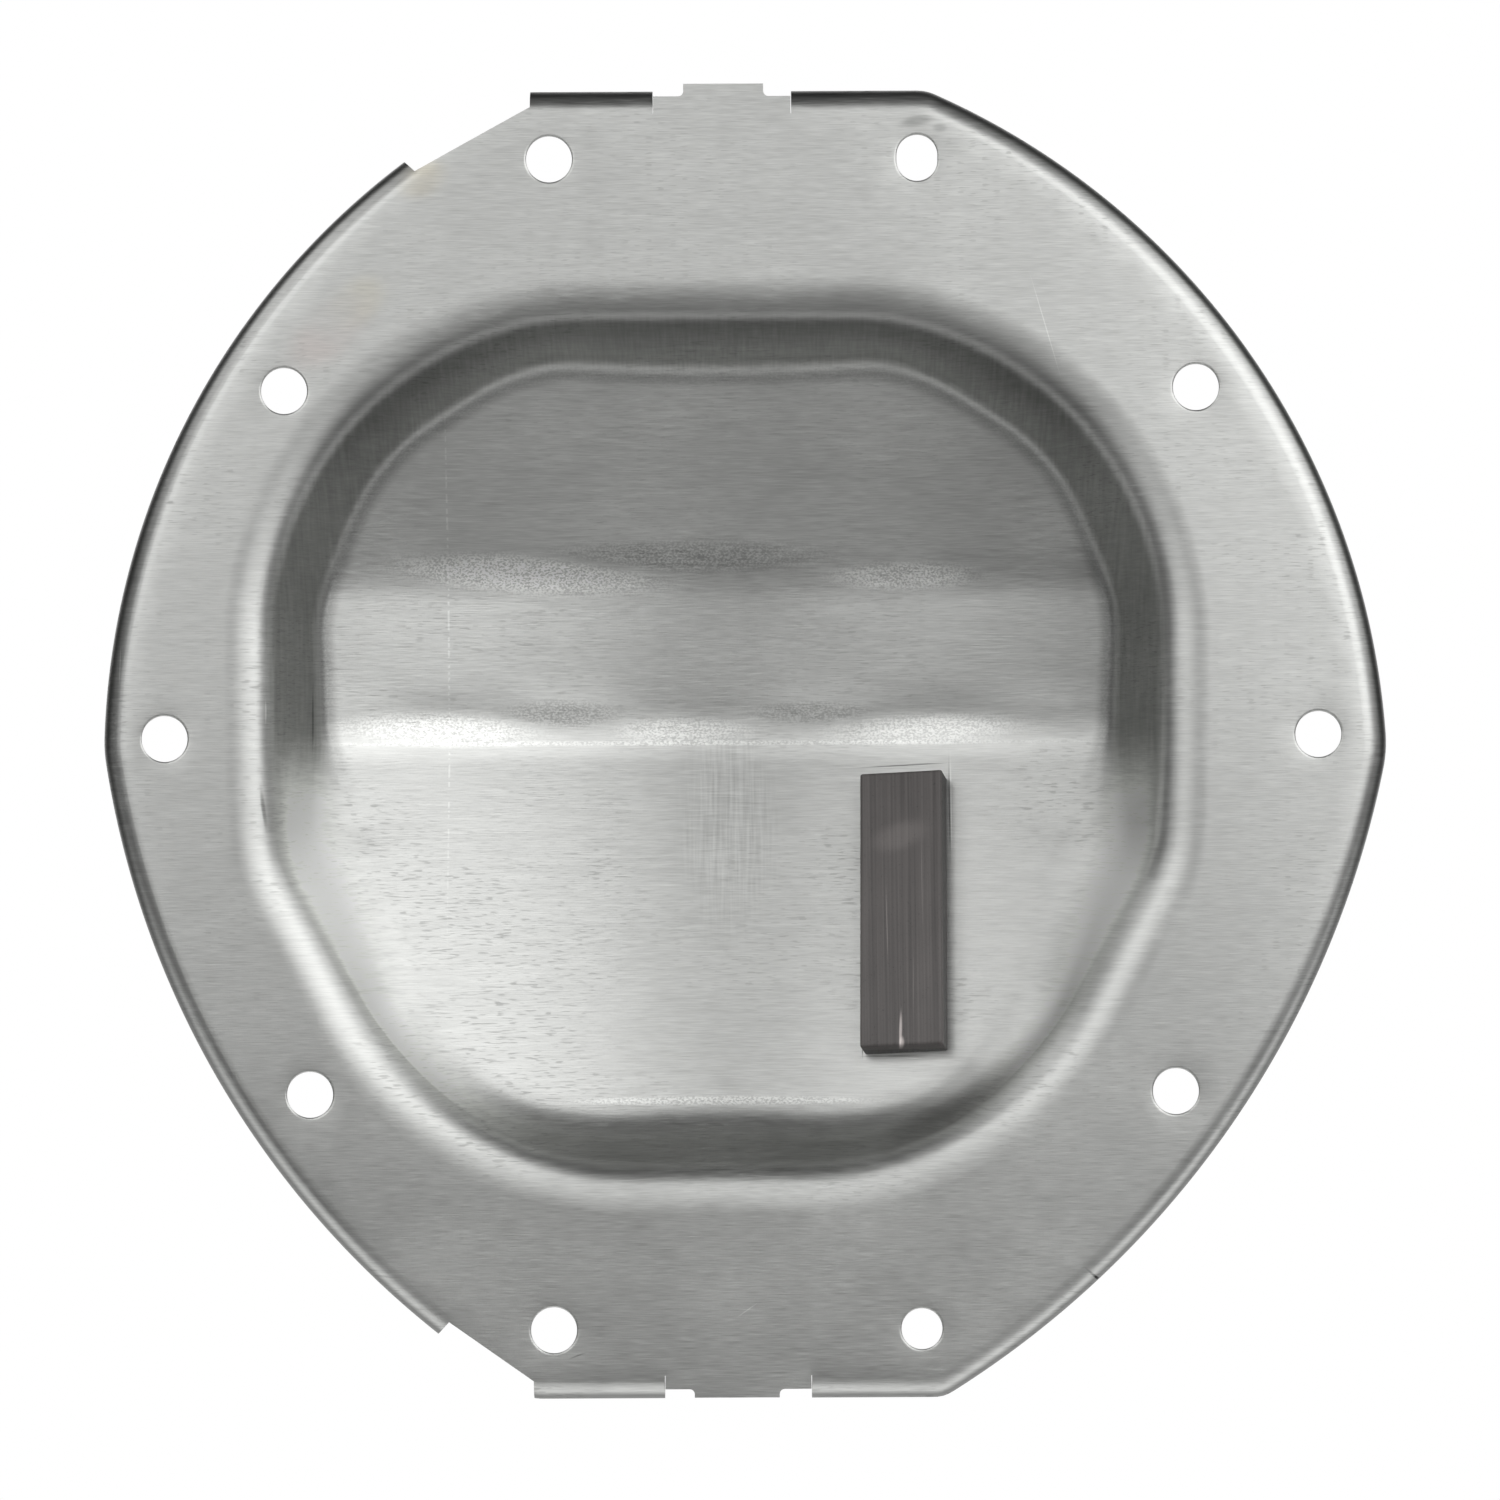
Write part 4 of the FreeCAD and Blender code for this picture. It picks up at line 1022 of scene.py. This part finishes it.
class Finish:
    """A material with a Principled BSDF, and short calls for what its colours are made from."""

    def __init__(self, name):
        self.material = bpy.data.materials.new(name)
        self.material.use_nodes = True
        self.tree = self.material.node_tree
        self.shader = self.tree.nodes["Principled BSDF"]
        self.place = self.tree.nodes.new("ShaderNodeTexCoord").outputs["Object"]
        parts = self.tree.nodes.new("ShaderNodeSeparateXYZ")
        self.tree.links.new(self.place, parts.inputs[0])
        self.across, self.deep, self.up = [Number(self.tree, parts.outputs[axis]) for axis in "XYZ"]

    def group(self, tree, values):
        """Places a group with its own values, each under the name of the group's input."""
        node = self.tree.nodes.new("ShaderNodeGroup")
        node.node_tree = tree
        self.tree.links.new(self.place, node.inputs["Place"])
        for label, amount in values.items():
            node.inputs[label].default_value = amount
        return Number(self.tree, node.outputs[0])

    def grain(self, width, height, detail):
        """Noise with marks of a width and a height, in millimetres."""
        size = (width * MM, max(width, height) * MM, height * MM)
        return self.group(grain_tree, {"Size": size, "Detail": detail})

    def patch(self, across, up, half_length, half_width, degrees=0.0):
        """A soft oval, with its place and half sizes in millimetres. It turns counter-clockwise."""
        return self.group(patch_tree, {
            "Middle": (across * MM, 0.0, up * MM), "Half Sizes": (half_length * MM, NO_END, half_width * MM),
            "Turn": (0.0, -math.radians(degrees), 0.0)})

    def patches(self, marks):
        """Adds up patches, each with its name, place, half sizes, turn in degrees and strength."""
        total = 0.0
        for name, across, up, half_length, half_width, degrees, strength in marks:
            total = self.patch(across, up, half_length, half_width, degrees) * strength + total
        return total

    def note(self, name):
        """Reads a note left on the mesh."""
        node = self.tree.nodes.new("ShaderNodeAttribute")
        node.attribute_name = name
        return Number(self.tree, node.outputs["Fac"])

    def faces_front(self):
        """Is 1 where the surface looks to the front of the cover, and 0 on its back and ends."""
        parts = self.tree.nodes.new("ShaderNodeSeparateXYZ")
        self.tree.links.new(self.tree.nodes.new("ShaderNodeNewGeometry").outputs["Normal"], parts.inputs[0])
        return (-Number(self.tree, parts.outputs["Y"])).above(FRONT_LEAST)

    def shade(self, colour, tone):
        """A colour times a number that changes over the surface."""
        node = self.tree.nodes.new("ShaderNodeVectorMath")
        node.operation = "SCALE"
        node.inputs[0].default_value = colour
        self.tree.links.new(tone.source, node.inputs["Scale"])
        return node.outputs[0]

    def tint(self, colour, other, share):
        """Mixes one more colour in, by a mask."""
        node = self.tree.nodes.new("ShaderNodeMix")
        node.data_type = "RGBA"
        node.blend_type = "MULTIPLY"
        self.tree.links.new(share.source, node.inputs["Factor"])
        self.tree.links.new(colour, node.inputs["A"])
        node.inputs["B"].default_value = (*other, 1)
        return node.outputs["Result"]

    def bump(self, height, depth):
        """Raises the surface by a height that runs from 0 to 1, for a depth in millimetres."""
        node = self.tree.nodes.new("ShaderNodeBump")
        node.inputs["Distance"].default_value = depth * MM
        self.tree.links.new(height.source, node.inputs["Height"])
        self.tree.links.new(node.outputs["Normal"], self.shader.inputs["Normal"])

    def feed(self, name, given):
        """Links a Number or a socket to one of the Principled BSDF's inputs."""
        source = given.source if isinstance(given, Number) else given
        self.tree.links.new(source, self.shader.inputs[name])


def band(number, rise, fall):
    """Rises from 0 to 1 over one span, and falls back to 0 over another."""
    return number.smooth(*rise) * (1.0 - number.smooth(*fall))


def lengths(low, high):
    """A span given in millimetres."""
    return low * MM, high * MM


# %% [markdown]
# ### Bare rolled steel
# The sheet is plain steel with a satin face. The rolls left a fine grain from side to side, with dark
# dashes where scale was pressed in. The press rubbed the creases bright in some places and left them
# mottled in others. The marks on the creases are that rubbed and mottled steel, with a painted
# highlight on the bright ones and painted shade on the dark ones, in the steel's colour.

# %% The steel's grain and tone
STEEL = (0.62, 0.626, 0.610)
FINE_TONE, COARSE_TONE, BLOTCH_TONE, DASH_TONE = 0.44, 0.20, 0.20, 0.13
steel = Finish("bare_steel")
steel.shader.inputs["Metallic"].default_value = 1.0
fine = steel.grain(4.5, 0.24, 1.0)
coarse = steel.grain(13.0, 1.0, 1.0)
blotch = steel.grain(34.0, 20.0, 2.0)
speck = steel.grain(0.52, 0.34, 1.0)
drawn = steel.grain(0.55, 11.0, 1.0) - 0.5
dashes = steel.grain(2.4, 0.28, 0.0).smooth(0.62, 0.72) * blotch.smooth(0.38, 0.62)
tone = 1.0 + (fine - 0.5) * FINE_TONE + (coarse - 0.5) * COARSE_TONE
tone = tone + (blotch - 0.5) * BLOTCH_TONE - dashes * DASH_TONE
front = steel.faces_front()
print("nodes for the grain:", len(steel.tree.nodes))

# %% What the press rubbed, with painted highlight and painted shade on the creases
# A mark gives its name, its place across and up, its half length and half width, its turn in degrees,
# and how much it brightens the steel.
DIE_LINE_TONE, DIE_LINES_TONE = 0.22, 0.45
# Bright crease marks are rubbed steel with a painted highlight, dark ones mottled steel with painted shade.
CREASE_RUBS_AND_PAINTED_LIGHT = [
    ("upper, dark", -11.4, 37.3, 27.0, 3.2, 0.0, -0.34),
    ("upper left, bright", -44.0, 33.6, 25.0, 3.6, -3.5, 0.80),
    ("upper right, bright", 33.5, 33.0, 14.0, 2.7, 0.0, 0.62),
    ("lower left, bright", -62.0, 1.9, 20.0, 3.2, -2.0, 0.42),
    ("lower middle, bright", -12.4, 1.3, 13.0, 2.7, 0.0, 0.42),
    ("lower right, bright", 38.0, 1.6, 19.0, 2.9, 2.0, 0.40),
    ("lower, dark left", -37.2, 4.9, 12.0, 2.8, 0.0, -0.34),
    ("lower, dark right", 13.9, 5.1, 12.0, 2.2, 0.0, -0.30),
    ("along the lower crease, bright", -12.0, -1.2, 80.0, 0.5, 0.0, 0.30),
    ("foot of the bottom wall, bright", -4.0, -73.9, 30.0, 0.9, 0.0, 0.50),
]
# A speckle breaks up the rubbed marks and their painted highlight and painted shade.
rubbed_and_painted_speckle = speck.smooth(0.36, 0.62)
tone = tone + steel.patches(CREASE_RUBS_AND_PAINTED_LIGHT) * rubbed_and_painted_speckle
die_line = steel.patch(-60.1, 18.0, 0.22, 52.0) * steel.grain(2.0, 0.9, 0.0).smooth(0.46, 0.56)
tone = tone + die_line * DIE_LINE_TONE
die_lines = steel.patch(-3.0, -18.0, 9.0, 20.0) * drawn
tone = tone + die_lines * DIE_LINES_TONE
print("rubbed marks:", len(CREASE_RUBS_AND_PAINTED_LIGHT))

# %% [markdown]
# ### Painted shade and highlight, fitted to the photograph
# The lamps and the shape alone leave the steep walls lighter, and the slanted sides darker, than the
# photograph shows them. This step makes up for that with painted shade and painted highlight in the
# steel's own colour, by place on the sheet: painted shade on the steep walls, on the bend at the top
# of the mouth, along the foot of the walls and on the lip, and a painted highlight on the slanted
# sides. These painted tones stay on the part under any other light. With every shade and gleam at 0
# the steel is plain. The masks come from the notes that the blank still carries. Its stage is 0 to 1
# on the mouth's bend, 1 to 2 down the wall, 2 to 3 on the bend at the wall's foot, and 3 to 4 from
# there to the middle of the floor.

# %% Painted shade on the walls, bends and rim, and a painted highlight on the slants
# The shades below are painted shade and SLANT_GLEAM is a painted highlight, all in the steel's colour.
WALL_SHADE = 0.36
BOTTOM_SHARE = 0.35
TOP_SHADE = 0.50
SLANT_GLEAM = 0.70
DRAWN_LINES = 0.45
FOOT_SHADE = 0.32
RIM_SHADE = 0.60
FOOT_EVEN, FOOT_SPECKLED = 0.85, 0.30
stage = steel.note("stage")
dish = steel.note("in_dish")
lip = steel.note("in_lip")
upper_sides = steel.up.smooth(*lengths(-14.0, 3.0))
from_middle = (steel.across * steel.across).root()
under = steel.up.smooth(*lengths(-60.0, -74.0)) * (1.0 - from_middle.smooth(*lengths(38.0, 66.0)))
steep_sides = upper_sides + under * BOTTOM_SHARE
wall = band(stage, (0.45, 1.0), (2.3, 2.95)) * dish
foot = band(stage, (2.4, 2.8), (3.0, 3.03)) * dish
foot_line = foot * (FOOT_EVEN + speck.smooth(0.35, 0.6) * FOOT_SPECKLED)
top_bend = band(stage, (0.25, 0.55), (1.0, 2.2)) * dish * steel.up.smooth(*lengths(40.0, 74.0))
slant = band(stage, (0.8, 1.4), (2.1, 3.1)) * dish * (1.0 - upper_sides) * (1.0 - under)
rim = lip.smooth(0.96, 1.0) * band(steel.deep, lengths(0.9, 2.2), lengths(3.5, 7.0))
# Painted shade darkens the walls, their foot, the top bend and the lip; a painted highlight brightens the
# slanted sides.
tone = tone * (1.0 - wall * steep_sides * WALL_SHADE) * (1.0 - foot_line * steep_sides * FOOT_SHADE)
tone = tone * (1.0 - top_bend * TOP_SHADE) * (1.0 + slant * SLANT_GLEAM)
tone = tone * (1.0 + drawn * wall * upper_sides * DRAWN_LINES) * (1.0 - rim * RIM_SHADE)
print("nodes with the walls:", len(steel.tree.nodes))

# %% Scratches, smudges and stains, and painted shade and highlight at the seat's edges and the foot's curl
FRONT_MARKS_AND_PAINTED_LIGHT = [
    ("scratch", -124.3, 14.8, 3.6, 0.12, 88.0, 0.45),
    ("scratch", -33.3, -123.7, 1.6, 0.14, 20.0, -0.4),
    ("scratch", 0.7, -114.7, 2.4, 0.10, 35.0, 0.35),
    ("gouge", 70.7, -108.7, 2.8, 0.28, -42.0, -0.45),
    ("long scratch", 61.2, 81.8, 9.0, 0.11, -73.6, 0.25),
    ("rub line", -95.3, 5.3, 2.2, 0.16, 90.0, 0.4),
    ("rub line", -87.3, 3.3, 6.0, 0.14, 90.0, -0.3),
    ("smudge", 35.7, 123.0, 3.2, 1.1, 10.0, -0.30),
    ("smudge", 40.2, 121.6, 1.4, 0.8, 0.0, -0.24),
    # Painted shade along the curl at the foot of the left wall.
    ("curl of the foot", -95.8, -14.0, 3.6, 0.40, 97.0, -0.50),
    # The edges of the seat are painted shade and painted highlight; the sheet has no recess there.
    ("edge of the seat, top", 33.1, -6.0, 8.8, 0.13, 3.0, -0.60),
    ("edge of the seat, right, dark", 42.6, -14.7, 8.8, 0.15, 90.0, -0.6),
    ("edge of the seat, right, bright", 42.95, -14.7, 8.8, 0.13, 90.0, 0.4),
    ("edge of the seat, bottom", 29.9, -65.0, 5.8, 0.13, 1.0, -0.60),
    ("edge of the seat, left", 24.3, -63.4, 1.8, 0.13, 90.0, -0.60),
]
tone = tone + steel.patches(FRONT_MARKS_AND_PAINTED_LIGHT) * front
# A stain gives its name, its colour, and then its place, half sizes and turn as a mark does.
STAINS = [
    ("yellow-brown", (0.97, 0.90, 0.76), -63.3, 111.7, 5.0, 3.4, 20.0),
    ("pink", (1.0, 0.93, 0.92), -82.3, 81.3, 9.0, 5.0, 40.0),
    ("straw", (1.0, 0.96, 0.86), -76.3, 87.3, 6.0, 4.0, 40.0),
]
colour = steel.shade(STEEL, tone)
for name, stain, across, up, half_length, half_width, degrees in STAINS:
    share = steel.patch(across, up, half_length, half_width, degrees) * front * blotch.smooth(0.30, 0.60)
    colour = steel.tint(colour, stain, share)
steel.feed("Base Color", colour)
print("nodes in the steel:", len(steel.tree.nodes))

# %% The steel's roughness and relief
SATIN = 0.40
BLOTCH_ROUGH, FINE_ROUGH, DASH_ROUGH, WALL_ROUGH = 0.10, 0.12, 0.10, 0.06
RELIEF = 0.015
SPECK_RELIEF = 0.2
roughness = SATIN + (blotch - 0.5) * BLOTCH_ROUGH + (fine - 0.5) * FINE_ROUGH
steel.feed("Roughness", roughness + dashes * DASH_ROUGH + wall * steep_sides * WALL_ROUGH)
steel.bump(fine + speck * SPECK_RELIEF, RELIEF)
print("relief of the grain, mm:", RELIEF)

# %% [markdown]
# ## The pressing
# The blank becomes a mesh that carries its notes as attributes. The press is a modifier on it, whose
# sizes are set by each socket's identifier. A second modifier gives the sheet its thickness, towards
# the back. The result is made a plain mesh: only the notes that the finish reads stay on it.

# %% Blank to mesh
rows = np.concatenate(blank.rows)


def seen_from_front(pairs):
    """Vectors for pairs of numbers, across and up."""
    return np.column_stack([pairs[:, 0], np.zeros(len(pairs)), pairs[:, 1]])


def write_notes(mesh, rows):
    """Stores the notes of every row on the mesh's points."""
    part, stage, draft, mouth_radius, floor_radius, dent = rows[:, 6:].T
    vectors = [("anchor", seen_from_front(rows[:, 2:4]) * MM), ("outward", seen_from_front(rows[:, 4:6]))]
    flags = [("in_dish", part == DISH), ("in_lip", part == LIP)]
    numbers = [("stage", stage), ("draft", draft), ("mouth_radius", mouth_radius * MM),
               ("floor_radius", floor_radius * MM), ("dent", dent * MM)]
    for kind, key, notes in (("FLOAT_VECTOR", "vector", vectors), ("BOOLEAN", "value", flags),
                             ("FLOAT", "value", numbers)):
        for name, values in notes:
            note_data = mesh.attributes.new(name, kind, "POINT").data
            note_data.foreach_set(key, np.ascontiguousarray(values).ravel())


mesh = bpy.data.meshes.new("cover")
faces = [tuple(int(i) for i in face) for face in blank.faces]
mesh.from_pydata((seen_from_front(rows[:, :2]) * MM).tolist(), [], faces)
write_notes(mesh, rows)
print("points and faces of the blank:", len(rows), len(faces))

# %% Press the blank
cover = bpy.data.objects.new("cover_sheet", mesh)
bpy.context.scene.collection.objects.link(cover)
modifier = cover.modifiers.new("press", "NODES")
modifier.node_group = press
inputs = {item.name: item.identifier for item in press.interface.items_tree if item.in_out == "INPUT"}
modifier[inputs["Material"]] = steel.material
for label, amount in FLOOR_SIZES + PRESS_SIZES:
    modifier[inputs[label]] = float(amount)
thicken = cover.modifiers.new("sheet", "SOLIDIFY")
thicken.thickness = SHEET * MM
thicken.offset = -1
thicken.use_even_offset = True
thicken.use_quality_normals = True
print("modifiers on the sheet:", [modifier.name for modifier in cover.modifiers])

# %% Make it a plain mesh
SHARP_FROM = math.radians(40)
evaluated = cover.evaluated_get(bpy.context.evaluated_depsgraph_get())
pressed = bpy.data.meshes.new_from_object(evaluated)
cover.modifiers.clear()
cover.data = pressed
for name in ("anchor", "outward", "draft", "mouth_radius", "floor_radius", "dent"):
    if name in pressed.attributes:
        pressed.attributes.remove(pressed.attributes[name])
pressed.shade_smooth()
pressed.set_sharp_from_angle(angle=SHARP_FROM)
pressed.calc_loop_triangles()
print("triangles in the cover:", len(pressed.loop_triangles))
shape = bmesh.new()
shape.from_mesh(pressed)
open_edges = sum(not edge.is_manifold for edge in shape.edges)
print("volume, cubic mm:", round(shape.calc_volume(signed=True) / MM ** 3), "open edges:", open_edges)
shape.free()
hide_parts("cover_pressing")
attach(cover, "root")

# %% [markdown]
# ## The magnet
# The magnet is a bar of hard ferrite, pressed, fired and then ground. It lies face to face on its seat
# in the dish, tilted as the floor tilts. The engineer's solid is the bar with true corners. It is read
# here for its place, its corners are joined, and a bevel breaks the edges as grinding does. The bar
# sits a little askew, so it turns about its own broad face.

# %% The magnet's finish, with painted shade on its sides and ends
FERRITE = (0.064, 0.058, 0.056)
END_SHADE, DARKEST = 0.55, 0.1
GROUND_TONE, WIDE_TONE, CLOUD_TONE, GRIT_TONE = 1.2, 0.5, 0.30, 0.30
FIRED, GROUND_ROUGH, GRIT_ROUGH = 0.50, 0.25, 0.15
GRIND_RELIEF, GRIT_RELIEF = 0.012, 0.5
ferrite = Finish("ferrite")
ground = ferrite.grain(0.42, 60.0, 3.0)
wide_ground = ferrite.grain(1.5, 90.0, 2.0)
cloud = ferrite.grain(9.0, 9.0, 3.0)
grit = ferrite.grain(0.35, 0.35, 2.0)
shade = 1.0 + (ground - 0.5) * GROUND_TONE + (wide_ground - 0.5) * WIDE_TONE
shade = shade + (cloud - 0.5) * CLOUD_TONE - grit.smooth(0.62, 0.74) * GRIT_TONE
MAGNET_MARKS = [
    ("light patch", 32.0, -20.4, 5.4, 2.6, 20.0, 0.45),
    ("wedge scratch", 31.9, -59.5, 3.4, 0.28, 88.0, 4.0),
    ("wedge scratch, foot", 32.1, -62.0, 1.2, 0.5, 88.0, 3.5),
    ("fine scratch, left", 29.4, -38.0, 7.0, 0.08, 91.0, 1.1),
    ("fine scratch, right", 36.6, -30.0, 9.0, 0.07, 90.0, 0.8),
    ("fine scratch, low", 34.6, -50.0, 6.0, 0.07, 89.0, 0.7),
]
faces_front = ferrite.faces_front()
shade = shade + ferrite.patches(MAGNET_MARKS) * faces_front
# Painted shade on the bar's sides and ends, the faces that don't look to the front.
shade = shade * (1.0 - (1.0 - faces_front) * END_SHADE)
ferrite.feed("Base Color", ferrite.shade(FERRITE, shade.highest(DARKEST)))
ferrite.feed("Roughness", FIRED + (ground - 0.5) * GROUND_ROUGH + (grit - 0.5) * GRIT_ROUGH)
ferrite.bump(ground + grit * GRIT_RELIEF, GRIND_RELIEF)
print("marks on the magnet:", len(MAGNET_MARKS))

# %% The magnet's mesh
EDGE_BREAK, EDGE_SEGMENTS = 0.35, 3
LEAN_OF_BAR = -2.0
MERGE_WITHIN = 0.01 * MM
FLAT_WITHIN, EDGE_FROM, BAR_SHARP_FROM = math.radians(2), math.radians(30), math.radians(25)
solid = frame["nodes"]["chip_magnet"]
shape = bmesh.new()
shape.from_mesh(solid.data)
bmesh.ops.remove_doubles(shape, verts=shape.verts, dist=MERGE_WITHIN)
bmesh.ops.dissolve_limit(shape, angle_limit=FLAT_WITHIN, verts=shape.verts, edges=shape.edges)
bar_edges = [edge for edge in shape.edges if edge.calc_face_angle(0) > EDGE_FROM]
bmesh.ops.bevel(shape, geom=bar_edges, offset=EDGE_BREAK * MM, segments=EDGE_SEGMENTS, profile=0.5,
                affect="EDGES")
bmesh.ops.recalc_face_normals(shape, faces=shape.faces)
middle = sum((corner.co for corner in shape.verts), Vector()) / len(shape.verts)
broad = max(shape.faces, key=lambda face: face.calc_area())
about = broad.normal if broad.normal.y > 0 else -broad.normal
turn = Matrix.Rotation(math.radians(LEAN_OF_BAR), 4, about)
bmesh.ops.rotate(shape, verts=shape.verts, cent=middle, matrix=turn)
bar_mesh = bpy.data.meshes.new("magnet")
shape.to_mesh(bar_mesh)
print("magnet: edges broken", len(bar_edges), "volume, cubic mm", round(shape.calc_volume() / MM ** 3))
shape.free()
magnet = bpy.data.objects.new("magnet", bar_mesh)
bpy.context.scene.collection.objects.link(magnet)
bar_mesh.materials.append(ferrite.material)
bar_mesh.shade_smooth()
bar_mesh.set_sharp_from_angle(angle=BAR_SHARP_FROM)
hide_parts("chip_magnet")
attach(magnet, "root")
